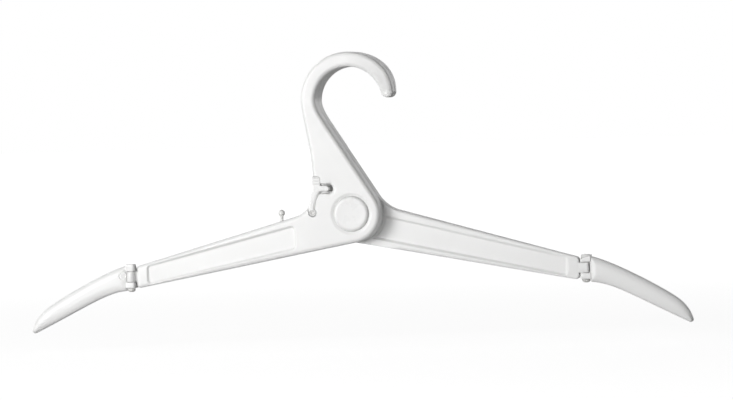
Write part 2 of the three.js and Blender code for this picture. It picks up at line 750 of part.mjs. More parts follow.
// The wing for +X, with its hinge axis on Z at the origin of X and Y; the other is this one turned
function wingSolid() {
  const x = (distance) => distance - wing.axisX;
  const root = rootGap;
  const tipX = x(wing.reach) - wing.tipRadius;
  const tipZ = wing.tipZ + wing.tipRadius;
  const bend = x(wing.reach) * wing.bend;
  const bendZ = wing.tipZ + wing.bendRise;
  const lowSlope = Math.tan(wing.lowSlope * RAD);
  const highSlope = Math.tan(wing.highSlope * RAD);
  const [lx, lz] = circle(wing.tipRadius, -90 - wing.lowSlope, tipX, tipZ);
  const [hx, hz] = circle(wing.tipRadius, wing.noseLean, tipX, tipZ);
  const nose = Math.tan(wing.noseLean * RAD);
  const lowRoot = wing.lowRootShare * (lx - root);
  const lowTip = wing.lowTipShare * (lx - root);
  const lean = wing.leanShare * (x(wing.reach) - bend);
  const high = wing.highShare * (bend - root);
  const shape = new THREE.Shape();
  shape.moveTo(root, wing.rootFoot);
  shape.bezierCurveTo(
    root + lowRoot, wing.rootFoot - wing.hollow, lx - lowTip, lz + lowTip * lowSlope, lx, lz,
  );
  shape.absarc(
    tipX, tipZ, wing.tipRadius, (-90 - wing.lowSlope) * RAD, wing.noseLean * RAD, false,
  );
  shape.bezierCurveTo(
    hx - wing.noseRise * nose, hz + wing.noseRise, bend + lean, bendZ - lean * highSlope, bend, bendZ,
  );
  shape.bezierCurveTo(
    bend - high, bendZ + high * highSlope, root + high, wing.rootTop - wing.sag, root, wing.rootTop,
  );
  const [y0, y1] = [-GAP - arm.endDepth, -GAP];
  let body = plate(shape, y0, y1, wing.edgeRadius, WING_STEPS);
  const ears = [
    [wing.bottom, wing.bottom + wing.lowerEar],
    [wing.top - wing.upperEar, wing.top],
  ];
  for (const [z0, z1] of ears) {
    const inner = block(
      -wing.barrelRadius, root + wing.earReach, y0 + 0.6, 0, z0 + 0.4, z1 - wing.earReach,
    );
    body = body.add(inner).add(post(0, 0, wing.barrelRadius, z0, z1));
  }
  body = body.subtract(post(0, 0, wing.pinRadius + GAP, wing.bottom - REACH, wing.top + REACH));
  // A round groove marks where the thumb presses
  const middle = [wing.ringOut, wing.top - wing.ringDown];
  const core = rod(...middle, wing.ringRadius - wing.ringWidth, y0, y1 + 2 * REACH);
  const ring = rod(...middle, wing.ringRadius, y1 - wing.ringDepth, y1 + REACH);
  return body.subtract(ring.subtract(core));
}

function hingePin() {
  const foot = wing.bottom - GAP;
  const steps = EDGE_STEPS + 2;
  const profile = [[0, foot - wing.domeHeight]];
  for (let i = 1; i <= steps; i += 1) {
    const turn = (90 * i * RAD) / steps;
    profile.push([wing.domeRadius * Math.sin(turn), foot - wing.domeHeight * Math.cos(turn)]);
  }
  profile.push([wing.pinRadius, foot], [wing.pinRadius, wing.top - GAP], [0, wing.top - GAP]);
  return solid(turned(profile));
}

// The assembly

const hanger = new THREE.Group();
hanger.position.set(-hook.x, 0, -seatZ);

function place(name, body, look, parent = hanger) {
  const geometry = geometryOf(body).toNonIndexed();
  geometry.computeVertexNormals();
  const mesh = new THREE.Mesh(geometry, look);
  mesh.name = name;
  parent.add(mesh);
}

place("front_half", frontHalf(), whitePlastic);
place("rear_half", rearHalf(), whitePlastic);
place("pivot_post", pivotPost(), nylon);
place("pivot_screw", pivotScrew(), steel);
place("friction_washer", washer(), nylon);
place("front_pivot_cap", pivotCap(-1), capPlastic);
place("rear_pivot_cap", pivotCap(1), capPlastic);
place("latch_lever", latchLever(), whitePlastic);
place("latch_pin", latchPin(), nylon);
place("latch_spring", latchSpring(), steel);
place("release_knob", releaseKnob(), knobPlastic);

for (const [name, side] of [["left", -1], ["right", 1]]) {
  const hinge = new THREE.Group();
  hinge.position.set(side * wing.axisX, side * wingAxisY, 0);
  hinge.rotation.z = side > 0 ? 0 : Math.PI;
  hanger.add(hinge);
  place(`${name}_wing`, wingSolid(), whitePlastic, hinge);
  place(`${name}_hinge_pin`, hingePin(), nylon, hinge);
}

export default hanger;
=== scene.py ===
"""Looks of a folding clothes hanger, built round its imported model.

Every moulding is worked out in millimetres about the fold pivot: an outline in X and Z, and a height map
in Y for its outer and its inner face. The finished meshes are moved to the row frame in metres.
"""

import json
import logging
import math
from collections.abc import Callable, Sequence
from dataclasses import dataclass, field
from enum import Enum

import bmesh
import bpy
import numpy as np
from mathutils import Matrix, Vector
from mathutils.geometry import delaunay_2d_cdt
from numpy.typing import NDArray


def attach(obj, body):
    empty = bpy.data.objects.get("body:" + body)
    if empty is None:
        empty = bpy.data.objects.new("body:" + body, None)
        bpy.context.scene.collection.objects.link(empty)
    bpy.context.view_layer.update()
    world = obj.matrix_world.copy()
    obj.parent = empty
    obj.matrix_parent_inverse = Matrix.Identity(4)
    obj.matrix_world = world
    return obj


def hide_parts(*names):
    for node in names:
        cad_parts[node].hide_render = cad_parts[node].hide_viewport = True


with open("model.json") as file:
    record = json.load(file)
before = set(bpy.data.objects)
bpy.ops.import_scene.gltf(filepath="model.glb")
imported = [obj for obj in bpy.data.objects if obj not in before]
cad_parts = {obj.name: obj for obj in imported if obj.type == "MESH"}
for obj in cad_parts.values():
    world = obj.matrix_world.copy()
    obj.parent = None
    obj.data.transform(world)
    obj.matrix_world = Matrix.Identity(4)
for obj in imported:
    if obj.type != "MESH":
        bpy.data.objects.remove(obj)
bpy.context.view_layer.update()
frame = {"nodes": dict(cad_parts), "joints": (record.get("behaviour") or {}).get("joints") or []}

Points = NDArray[np.float64]
HeightMap = Callable[[Points, Points], Points]
Link = tuple[bpy.types.Node, int | str, bpy.types.Node, int | str]

log = logging.getLogger("hanger")

# Lengths are in millimetres and angles in degrees from here to the finishes.
MM = 0.001
SPLIT = 0.2
GAP = 0.3
OUTER_FACE = 12.3
SHARP = 38.0

# How closely outlines are drawn, how near counts as touching, and how many points are weighed at once
STEP = 1.0
CURVE_POINTS = 160
ARC_STEP = 0.15
ARC_SHARE = 0.3
TOUCH = 0.02
BATCH = 3000

# Where the rows of points lie in a rounded edge, a rim, a wall and the open face
FIRST_ROW = 0.03
ROUND_TURNS = (12.0, 24.0, 36.0, 48.0, 60.0, 75.0)
RIM_SHARES = (0.05, 0.2, 0.5, 1.0)
WALL_SHARES = (-0.5, -0.36, -0.14, 0.14, 0.36, 0.5)
WALL_MARGIN = 0.35
GRID_MARGIN = 0.8
GRID_RISE = 0.866
GRID_GAP = 0.4

# Runs of the walls of seats and pockets, and sides of small circles
STEEP_WALL = 0.15
SEAT_WALL = 0.2
TRACK_WALL = 0.25
SEAT_SIDES = 48
PIN_SIDES = 32


def pivot_place() -> Vector:
    """Place of the fold pivot in the row frame, in metres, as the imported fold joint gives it."""
    joint = next(j for j in frame["joints"] if j["name"] == "arm_fold")
    return Vector(joint["pos_m"])


PIVOT = pivot_place()


class Side(Enum):
    """Which way a half's outer face looks: the front half towards -Y, the rear half towards +Y."""

    FRONT = -1
    REAR = 1

    def in_place(self, verts: Points) -> Points:
        """Turns heights from the parting plane into Y on this side."""
        return verts * np.array([1.0, self.value, 1.0])

    def carried_up(self, verts: Points) -> Points:
        """Turns an outline in X and Y, whose height ran along Z, into place on this side."""
        return verts[:, [0, 2, 1]] * np.array([self.value, self.value, 1.0])


# Plane geometry


def grade(degrees: float) -> float:
    """Rise over run of a straight line at an angle."""
    return math.tan(math.radians(degrees))


def on_circle(
    radius: float | Points, degrees: float | Points, x: float = 0.0, z: float = 0.0,
) -> Points:
    """Points of a circle at given angles: centre plus radius times cosine and sine.

    Args:
        radius: the circle's radius, or one for each angle.
        degrees: one angle or an array of them.
        x, z: the centre.

    Returns:
        The points, with X and Z last.
    """
    turn = np.radians(degrees)
    return np.stack([x + radius * np.cos(turn), z + radius * np.sin(turn)], -1)


def smooth(value: Points) -> Points:
    """The curve 3 t^2 - 2 t^3 of a value held between 0 and 1."""
    t = np.clip(value, 0.0, 1.0)
    return t * t * (3.0 - 2.0 * t)


class Pen:
    """Draws a closed outline as evenly spaced points."""

    def __init__(self, start: Sequence[float], step: float = STEP) -> None:
        """Puts the pen down at start."""
        self.parts: list[Points] = [np.array([start], float)]
        self.step = step

    @property
    def at(self) -> Points:
        """The pen's place."""
        return self.parts[-1][-1]

    def curve(self, *handles: Sequence[float]) -> "Pen":
        """Draws a Bezier curve of any degree: the sum of its points weighted by Bernstein's terms.

        Args:
            handles: the curve's points after the pen's place, the end last.

        Returns:
            The pen.
        """
        points = np.array([self.at, *handles], float)
        degree = len(handles)
        t = np.linspace(0.0, 1.0, CURVE_POINTS)[:, None]
        terms = [math.comb(degree, k) * t**k * (1 - t) ** (degree - k) for k in range(degree + 1)]
        path = sum(term * point for term, point in zip(terms, points))
        return self.follow(path)

    def line(self, x: float, z: float) -> "Pen":
        """Draws a straight line."""
        return self.curve((x, z))

    def arc(self, x: float, z: float, radius: float, start: float, end: float) -> "Pen":
        """Draws a line to an arc's start, then the arc.

        Args:
            x, z: the arc's centre.
            radius: its radius.
            start, end: its angles in degrees; it turns clockwise where the end is the smaller.

        Returns:
            The pen.
        """
        first = on_circle(radius, start, x, z)
        if np.hypot(*(first - self.at)) > 1e-6:
            self.line(*first)
        step = min(self.step, ARC_SHARE * radius + ARC_STEP)
        return self.follow(on_circle(radius, np.linspace(start, end, CURVE_POINTS), x, z), step)

    def corner(self, x: float, z: float, towards: Sequence[float], radius: float) -> "Pen":
        """Draws a line that turns towards another point round a corner, with a rounding.

        Args:
            x, z: the corner.
            towards: where the line goes on to.
            radius: the rounding.

        Returns:
            The pen.
        """
        tip = np.array([x, z], float)
        ahead = np.array(towards, float) - tip
        into = (tip - self.at) / np.hypot(*(tip - self.at))
        out = ahead / np.hypot(*ahead)
        bend = math.atan2(into[0] * out[1] - into[1] * out[0], float(into @ out))
        run = radius * math.tan(abs(bend) / 2)
        start = tip - into * run
        normal = math.copysign(1.0, bend) * np.array([-into[1], into[0]])
        centre = start + normal * radius
        angle = math.degrees(math.atan2(-normal[1], -normal[0]))
        return self.arc(*centre, radius, angle, angle + math.degrees(bend))

    def follow(self, path: Points, step: float | None = None) -> "Pen":
        """Adds a path's points again at even distances, found by its running length."""
        run = np.concatenate([[0.0], np.cumsum(np.hypot(*np.diff(path, axis=0).T))])
        count = max(1, math.ceil(run[-1] / (step or self.step)))
        where = np.linspace(0.0, run[-1], count + 1)[1:]
        self.parts.append(np.stack([np.interp(where, run, path[:, k]) for k in (0, 1)], -1))
        return self

    def closed(self) -> Points:
        """The outline, turning counter-clockwise, with its first point not repeated."""
        points = np.concatenate(self.parts)
        if np.hypot(*(points[0] - points[-1])) < TOUCH:
            points = points[:-1]
        after = np.roll(points, -1, 0)
        area = (points[:, 0] * after[:, 1] - after[:, 0] * points[:, 1]).sum()
        return points if area > 0 else points[::-1].copy()


def disc(radius: float, x: float = 0.0, z: float = 0.0, count: int = 96) -> Points:
    """A circle as a closed outline: points at even angles."""
    return on_circle(radius, np.arange(count) * 360.0 / count, x, z)


def away(points: Points, outline: Points) -> Points:
    """Distance of each point from a closed outline, positive inside.

    Each side's nearest spot is the point's projection on it, held between its ends. A point is
    inside where a level line from it crosses the outline an odd number of times.

    Args:
        points: the points.
        outline: the closed outline.

    Returns:
        One distance a point.
    """
    side = np.roll(outline, -1, 0) - outline
    square = (side**2).sum(1)
    found = np.empty(len(points))
    for start in range(0, len(points), BATCH):
        rel = points[start : start + BATCH, None, :] - outline[None]
        share = np.clip((rel * side).sum(2) / square, 0.0, 1.0)
        gap = rel - share[..., None] * side
        distance = np.sqrt((gap**2).sum(2).min(1))
        below = rel[..., 1] < 0
        crossed = below != np.roll(below, -1, 1)
        rise = np.where(side[:, 1] == 0, 1.0, side[:, 1])
        left = rel[..., 0] < rel[..., 1] * side[:, 0] / rise
        odd = (crossed & left).sum(1) % 2 == 1
        found[start : start + BATCH] = np.where(odd, distance, -distance)
    return found


def moved_in(outline: Points, distance: float) -> Points:
    """A closed outline moved inwards along the mean normal of the two sides at each point.

    The way is lengthened at a corner, so that both sides move by the distance, at most to twice it.

    Args:
        outline: the closed outline.
        distance: how far it moves; a negative one moves it outwards.

    Returns:
        The moved outline, point by point.
    """
    before = outline - np.roll(outline, 1, 0)
    after = np.roll(outline, -1, 0) - outline
    normals = [np.stack([-d[:, 1], d[:, 0]], -1) / np.hypot(*d.T)[:, None] for d in (before, after)]
    mean = normals[0] + normals[1]
    mean /= np.hypot(*mean.T)[:, None]
    lengthen = 1.0 / np.clip((mean * normals[0]).sum(1), 0.5, 1.0)
    return outline + distance * lengthen[:, None] * mean


# Height maps


@dataclass(frozen=True)
class Recess:
    """A seat, pocket or raised spot in a face: its outline, the height of its floor and its wall's run."""

    outline: Points
    level: float
    wall: float = 0.3

    def share(self, points: Points) -> Points:
        """How far each point lies down the recess: a smooth step across its wall."""
        return smooth(away(points, self.outline) / self.wall + 0.5)

    def carve(self, height: Points, points: Points) -> Points:
        """The heights taken towards the floor by the share."""
        return height + (self.level - height) * self.share(points)

    def guides(self) -> list[Points]:
        """Rings that follow the wall's rounding, and one on either side of it."""
        places = np.array(WALL_SHARES) * self.wall
        beyond = self.wall / 2 + WALL_MARGIN
        return [moved_in(self.outline, d) for d in (-beyond, *places, beyond)]


def rolled(distance: Points, radius: float | Points) -> Points:
    """How far a rounded edge has fallen at a distance from the outline: a quarter circle."""
    reach = np.clip(radius - distance, 0.0, radius)
    return radius - np.sqrt(np.maximum(radius**2 - reach**2, 0.0))


def edge_rows(reach: float, beyond: Sequence[float]) -> list[float]:
    """Distances from the outline of the rows of points that a rounded edge needs.

    Args:
        reach: how far in the rounding goes.
        beyond: how far past it the last rows lie.

    Returns:
        The distances, which stand for even turns of the rounding's arc.
    """
    fine = [round(reach * (1 - math.cos(turn)), 3) for turn in np.radians(ROUND_TURNS)]
    return [FIRST_ROW, *fine, reach, *[reach + more for more in beyond]]


@dataclass
class Moulding:
    """A closed solid between an outer and an inner height map over one outline."""

    outline: Points
    outer: HeightMap
    inner: HeightMap
    insets: Sequence[float]
    holes: Sequence[Points] = ()
    guides: Sequence[Points] = ()
    spacing: float = 4.0

    def plan(self) -> tuple[Points, NDArray[np.int64]]:
        """Triangles of the outline's plane, with rows of points along every rounding.

        Returns:
            The points and the triangles, which turn counter-clockwise.
        """
        points: list[Points] = []
        edges: list[NDArray[np.int64]] = []
        total = 0

        def add(ring: Points, keep: NDArray[np.bool_]) -> None:
            """Adds a ring's kept points, and an edge wherever two in a row are kept."""
            nonlocal total
            index = np.cumsum(keep) - 1 + total
            pair = keep & np.roll(keep, -1)
            edges.append(np.stack([index[pair], np.roll(index, -1)[pair]], -1))
            points.append(ring[keep])
            total += int(keep.sum())

        for rim in (self.outline, *self.holes):
            add(rim, np.ones(len(rim), bool))
        for inset in self.insets:
            ring = moved_in(self.outline, inset)
            add(ring, away(ring, self.outline) > inset * 0.985 - 0.004)
        for guide in self.guides:
            depth = away(guide, self.outline)
            clear = np.ones(len(guide), bool)
            for hole in self.holes:
                clear &= away(guide, hole) < -TOUCH
            add(guide, (depth > TOUCH) & clear)
        points.append(self.grid(np.concatenate(points)))
        flat = [Vector(p) for p in np.concatenate(points)]
        pairs = np.concatenate(edges).tolist()
        spots, _, faces, *_ = delaunay_2d_cdt(flat, pairs, [], 0, 1e-4, False)
        xz = np.array([tuple(p) for p in spots], float)
        triangles = np.array([f for f in faces if len(f) == 3], np.int64)
        centre = xz[triangles].mean(1)
        keep = away(centre, self.outline) > 0
        for hole in self.holes:
            keep &= away(centre, hole) < 0
        return xz, triangles[keep]

    def grid(self, taken: Points) -> Points:
        """Staggered rows of points over the inside, with none near a point that is there already.

        Args:
            taken: the points that are there.

        Returns:
            The grid's points.
        """
        low = self.outline.min(0)
        high = self.outline.max(0)
        across = np.arange(low[0], high[0], self.spacing)
        up = np.arange(low[1], high[1], self.spacing * GRID_RISE)
        grid = np.stack(np.meshgrid(across, up), -1)
        grid[1::2, :, 0] += self.spacing / 2
        inner = grid.reshape(-1, 2)
        inner = inner[away(inner, self.outline) > max(self.insets) + GRID_MARGIN]
        gap = np.concatenate([
            np.hypot(*(part[:, None] - taken[None]).transpose(2, 0, 1)).min(1)
            for part in np.array_split(inner, 1 + len(inner) // 500)
        ])
        return inner[gap > GRID_GAP * self.spacing]

    def solid(self) -> tuple[Points, list[list[int]]]:
        """The closed mesh: both faces over the same triangles, joined by a wall at every free edge.

        Returns:
            Points in X, height and Z, and faces that point outwards where the height runs to -Y.
        """
        xz, triangles = self.plan()
        depth = away(xz, self.outline)
        top = self.outer(xz, depth)
        bottom = self.inner(xz, depth)
        count = len(xz)
        verts = np.concatenate(
            [np.column_stack([xz[:, 0], h, xz[:, 1]]) for h in (top, bottom)],
        )
        sides = np.concatenate([triangles[:, [0, 1]], triangles[:, [1, 2]], triangles[:, [2, 0]]])
        code = sides[:, 0] * count + sides[:, 1]
        mirror = sides[:, 1] * count + sides[:, 0]
        free = sides[~np.isin(code, mirror)]
        walls = np.column_stack([free[:, 1], free[:, 0], free[:, 0] + count, free[:, 1] + count])
        faces = triangles.tolist() + (triangles[:, ::-1] + count).tolist() + walls.tolist()
        return verts, faces

    def piece(self, name: str, place: Callable[[Points], Points]) -> bpy.types.Object:
        """The moulding as an object.

        Args:
            name: its name.
            place: moves the solid's points to where the piece stands.

        Returns:
            The object.
        """
        verts, faces = self.solid()
        return make_piece(name, place(verts), faces)


# Meshes


def smooth_faces(mesh: bpy.types.Mesh) -> None:
    """Shades a mesh smooth, but for the edges that turn by more than the sharp angle."""
    mesh.polygons.foreach_set("use_smooth", np.ones(len(mesh.polygons), bool))
    mesh.set_sharp_from_angle(angle=math.radians(SHARP))


def make_piece(name: str, verts: Points, faces: Sequence[Sequence[int]]) -> bpy.types.Object:
    """A piece from points in millimetres about the pivot.

    Args:
        name: the piece's name.
        verts: its points.
        faces: its faces.

    Returns:
        The object, at the origin, in metres in the row frame.
    """
    mesh = bpy.data.meshes.new(name)
    mesh.from_pydata((verts * MM + np.array(PIVOT)).tolist(), [], faces)
    work = bmesh.new()
    work.from_mesh(mesh)
    bmesh.ops.remove_doubles(work, verts=work.verts, dist=1e-7)
    loose = [v for v in work.verts if not v.link_faces]
    bmesh.ops.delete(work, geom=loose, context="VERTS")
    bmesh.ops.recalc_face_normals(work, faces=work.faces)
    work.to_mesh(mesh)
    work.free()
    smooth_faces(mesh)
    mesh.update()
    piece = bpy.data.objects.new(name, mesh)
    bpy.context.scene.collection.objects.link(piece)
    return piece


class Join(Enum):
    """What becomes of a closed mesh that meets a piece."""

    ADD = "UNION"
    CUT = "DIFFERENCE"


def combine(piece: bpy.types.Object, others: Sequence[bpy.types.Object], how: Join) -> None:
    """Joins other closed meshes to a piece, or cuts them out of it, and removes them.

    The slivers that the boolean step leaves open are filled.

    Args:
        piece: the piece that stays.
        others: the meshes that are used up.
        how: whether they are added or cut out.
    """
    for other in others:
        step = piece.modifiers.new("combine", "BOOLEAN")
        step.operation = how.value
        step.solver = "EXACT"
        step.object = other
    graph = bpy.context.evaluated_depsgraph_get()
    mesh = bpy.data.meshes.new_from_object(piece.evaluated_get(graph))
    piece.modifiers.clear()
    old = piece.data
    piece.data = mesh
    bpy.data.meshes.remove(old)
    mesh.name = piece.name
    work = bmesh.new()
    work.from_mesh(mesh)
    free = [edge for edge in work.edges if len(edge.link_faces) == 1]
    bmesh.ops.holes_fill(work, edges=free, sides=0)
    work.to_mesh(mesh)
    work.free()
    for other in others:
        data = other.data
        bpy.data.objects.remove(other)
        bpy.data.meshes.remove(data)
    smooth_faces(mesh)


def turned(profile: Points, count: int) -> tuple[Points, list[list[int]]]:
    """A surface of revolution: a profile of radius and height carried round an upright axis.

    Args:
        profile: radius and height pairs that start and end on the axis.
        count: steps round the axis.

    Returns:
        Points about the axis, with the height along Z, and faces.
    """
    turn = np.linspace(0.0, 2 * math.pi, count, endpoint=False)
    ring = profile[1:-1]
    x = ring[:, 0][:, None] * np.cos(turn)
    y = ring[:, 0][:, None] * np.sin(turn)
    z = np.broadcast_to(ring[:, 1][:, None], x.shape)
    verts = np.stack([x, y, z], -1).reshape(-1, 3)
    ends = np.array([[0.0, 0.0, profile[0, 1]], [0.0, 0.0, profile[-1, 1]]])
    rows = np.arange(len(ring) - 1)[:, None] * count
    around = np.arange(count)
    after = (around + 1) % count
    quads = np.stack([rows + around, rows + after, rows + count + after, rows + count + around], -1)
    first = np.full(count, len(verts))
    last = (len(ring) - 1) * count
    caps = np.concatenate([
        np.stack([first, after, around], -1),
        np.stack([first + 1, last + around, last + after], -1),
    ])
    return np.concatenate([verts, ends]), quads.reshape(-1, 4).tolist() + caps.tolist()


# The hanger's outlines


@dataclass(frozen=True)
class HookSizes:
    """The hook's sizes about the pivot."""

    x: float = -0.5
    z: float = 74.2
    throat: float = 21.8
    crown: float = 9.7
    tip_width: float = 7.9
    tip_angle: float = 11.0
    flare_angle: float = 50.0
    tip_depth: float = 7.6
    back_in: float = 0.2
    back_share: float = 0.17
    waist_out: float = 0.9
    waist_share: float = 0.4


@dataclass(frozen=True)
class BodySizes:
    """Sizes of a half at the pivot and along its arm."""

    depth: float = 12.1
    edge: float = 2.6
    boss: float = 18.9
    waist_x: float = -25.3
    waist_z: float = 27.0
    stem_slope: float = 57.2
    stem_blend: float = 8.6
    arm_end: float = 146.9
    arm_top: float = -31.7
    arm_slope: float = 15.7
    arm_height: float = 14.6
    arm_depth: float = 8.0
    arm_inset: float = 1.0
    taper_from: float = 30.0
    neck: float = 25.0
    end_corner: float = 2.4
    flank_meet: float = 195.0
    flank_foot: float = 10.0
    flank_drop: float = 8.0


@dataclass(frozen=True)
class WebSizes:
    """Sizes of the sunk web of an arm and of the rims beside it."""

    rim_root: float = 6.6
    rim_end: float = 2.1
    foot_share: float = 0.75
    depth: float = 1.7
    start: float = 38.0
    end: float = 139.0
    corner: float = 2.2
    boss_margin: float = 1.2
    wall: float = 1.8


@dataclass(frozen=True)
class LatchSizes:
    """Sizes of the latch lever and its pockets."""

    x: float = -25.9
    z: float = 1.2
    plate: float = 4.2
    hub: float = 2.5
    hub_leave: float = 50.0
    neck_x: float = 3.4
    neck_z: float = 4.5
    pad_top: float = 24.8
    pad_right: float = -20.2
    pad_corner: float = 1.8
    proud: float = 0.2
    nose_top: float = 18.7
    nose_height: float = 3.9
    nose_tip: float = -14.6
    slot_top: float = 20.1
    slot_height: float = 6.6
    slot_end: float = -12.0
    slot_depth: float = 4.2
    slot_corner: float = 0.5
    groove: float = 0.28
    pad_gap: float = 0.06
    seam: float = 0.12
    throw: float = 6.0
    flare_top: float = 15.5
    flare_x: float = -28.6
    flare_z: float = 5.3
    flare_bend: float = 1.5
    flare_run: float = 9.4
    sleeve: float = 2.2
    well: float = 2.7
    well_floor: float = 2.6
    hole_floor: float = 0.8
    tail_root: float = 3.2
    tail_drop: float = 8.2
    tail_height: float = 3.0
    tail_back: float = 4.3
    tail_past: float = 0.8
    tail_gap: float = 0.5
    knob_x: float = -47.8
    knob_z: float = 1.4
    knob_radius: float = 2.2
    stem_radius: float = 1.1
    pin_radius: float = 1.1
    pin_head: float = 1.6


@dataclass(frozen=True)
class EdgeSizes:
    """Where a half's rounded edges change their radius, and how wide each change is."""

    slot_x: float = -22.0
    slot_reach: float = 10.0
    slot_fade: float = 4.0
    slot_rise: float = 6.2
    slot_blur: float = 2.0
    tip_from: float = 40.0
    tip_fade: float = 30.0
    tip_past: float = -20.0
    arm_from: float = 22.0
    arm_fade: float = 10.0


@dataclass(frozen=True)
class PivotSizes:
    """Sizes of the fold joint."""

    post: float = 4.7
    washer: float = 9.4
    washer_thick: float = 1.4
    head: float = 7.8
    head_seat: float = 3.7
    cap: float = 11.6
    cap_thick: float = 2.4
    cap_seat: float = 1.7
    cap_rim: float = 2.1
    cap_rise: float = 1.9
    cap_gap: float = 0.06
    chamfer: float = 0.3
    lip_out: float = 1.0
    lip_run: float = 2.4
    lip_drop: float = 0.8
    fold: float = 132.0
    stop_ring: float = 13.5
    stop_radius: float = 1.2
    stop_height: float = 1.9
    stop_angle: float = 150.0
    stop_gap: float = 0.1


@dataclass(frozen=True)
class WingSizes:
    """Sizes of a shoulder wing and its hinge."""

    axis_x: float = 150.2
    axis_y: float = 9.5
    barrel: float = 2.8
    top: float = -30.0
    bottom: float = -45.9
    upper_ear: float = 4.8
    lower_ear: float = 3.9
    ear_reach: float = 0.8
    back_drop: float = 1.1
    back_slant: float = 2.1
    edge: float = 3.1
    edge_run: float = 5.0
    root_top: float = -31.0
    root_foot: float = -47.8
    reach: float = 220.0
    tip_z: float = -74.9
    tip_radius: float = 1.7
    bend: float = 0.728
    bend_rise: float = 21.7
    high_slope: float = 30.5
    low_slope: float = 25.5
    nose_lean: float = 16.8
    nose_rise: float = 8.8
    hollow: float = 1.4
    sag: float = 3.2
    low_root: float = 0.247
    low_tip: float = 0.562
    lean: float = 0.607
    high: float = 0.271
    depth: float = 8.0
    root_gap: float = 0.2
    foot_corner: float = 1.6
    top_corner: float = 1.0
    pin: float = 1.3
    pin_chamfer: float = 0.3
    dome: float = 2.7
    dome_height: float = 2.2
    dome_power: float = 0.75
    ring_out: float = 6.0
    ring_down: float = 7.8
    ring_radius: float = 2.6
    ring_depth: float = 0.6
    ring_wall: float = 0.7
    button: float = 1.9
    button_wall: float = 0.9


@dataclass(frozen=True)
class EarSizes:
    """Sizes of a wing's ears, about the hinge axis."""

    heel: float = -0.9
    heel_corner: float = 0.6
    flat: float = 0.2
    corner: float = 1.4
    foot_corner: float = 1.2
    back: float = 0.6
    rim: float = 0.45
    slant_from: float = 2.0
    slant_run: float = 1.8


@dataclass(frozen=True)
class KnuckleSizes:
    """Sizes of the arm's knuckle between the ears."""

    root: float = 4.2
    corner: float = 0.8
    shoulder: float = 0.5
    shoulder_corner: float = 0.3
    rim: float = 0.4


HOOK = HookSizes()
BODY = BodySizes()
WEB = WebSizes()
LATCH = LatchSizes()
EDGE = EdgeSizes()
JOINT = PivotSizes()
WING = WingSizes()
EAR = EarSizes()
KNUCKLE = KnuckleSizes()
PLATE_BACK = OUTER_FACE - LATCH.plate
KNOB_Y = (PLATE_BACK + LATCH.tail_back) / 2
CAP_FLOOR = OUTER_FACE - JOINT.cap_seat


def arm_top(x: Points | float) -> Points | float:
    """Height of an arm's top edge at a distance from the pivot."""
    return BODY.arm_top + grade(BODY.arm_slope) * (BODY.arm_end - np.abs(x))


ARM_FOOT = BODY.arm_top - BODY.arm_height
FOOT_SLOPE = math.atan2(-ARM_FOOT, BODY.arm_end) - math.asin(
    BODY.boss / math.hypot(BODY.arm_end, ARM_FOOT),
)


def arm_bottom(x: Points | float) -> Points | float:
    """Height of an arm's lower edge at a distance from the pivot: a tangent of the boss."""
    return ARM_FOOT + math.tan(FOOT_SLOPE) * (BODY.arm_end - np.abs(x))


STEM = on_circle(BODY.boss, 90.0 - BODY.stem_slope)
STEM_RISE = grade(BODY.stem_slope)


def hook_outline(pen: Pen) -> None:
    """Draws the stem's right side, throat, tip, crown and the stem's left side down to the waist."""
    left = HOOK.x - HOOK.throat
    corner = STEM[1] + (STEM[0] - left) * STEM_RISE
    blend = corner - BODY.stem_blend
    pen.line(STEM[0] - (blend - STEM[1]) / STEM_RISE, blend)
    pen.curve((left, corner), (left, HOOK.z))
    pen.arc(HOOK.x, HOOK.z, HOOK.throat, 180.0, HOOK.tip_angle)
    tip = on_circle(HOOK.throat + HOOK.tip_width / 2, HOOK.tip_angle, HOOK.x, HOOK.z)
    pen.arc(*tip, HOOK.tip_width / 2, HOOK.tip_angle - 180.0, HOOK.tip_angle)
    outer = HOOK.throat + HOOK.crown
    share = np.linspace(0.0, 1.0, 40)
    turn = HOOK.tip_angle + (HOOK.flare_angle - HOOK.tip_angle) * share
    radius = outer - (HOOK.crown - HOOK.tip_width) * (1 - share) ** 2
    pen.follow(on_circle(radius, turn, HOOK.x, HOOK.z))
    pen.arc(HOOK.x, HOOK.z, outer, HOOK.flare_angle, 180.0)
    drop = HOOK.z - BODY.waist_z
    pen.curve(
        (HOOK.x - outer + HOOK.back_in, HOOK.z - HOOK.back_share * drop),
        (BODY.waist_x - HOOK.waist_out, BODY.waist_z + HOOK.waist_share * drop),
        (BODY.waist_x, BODY.waist_z),
    )


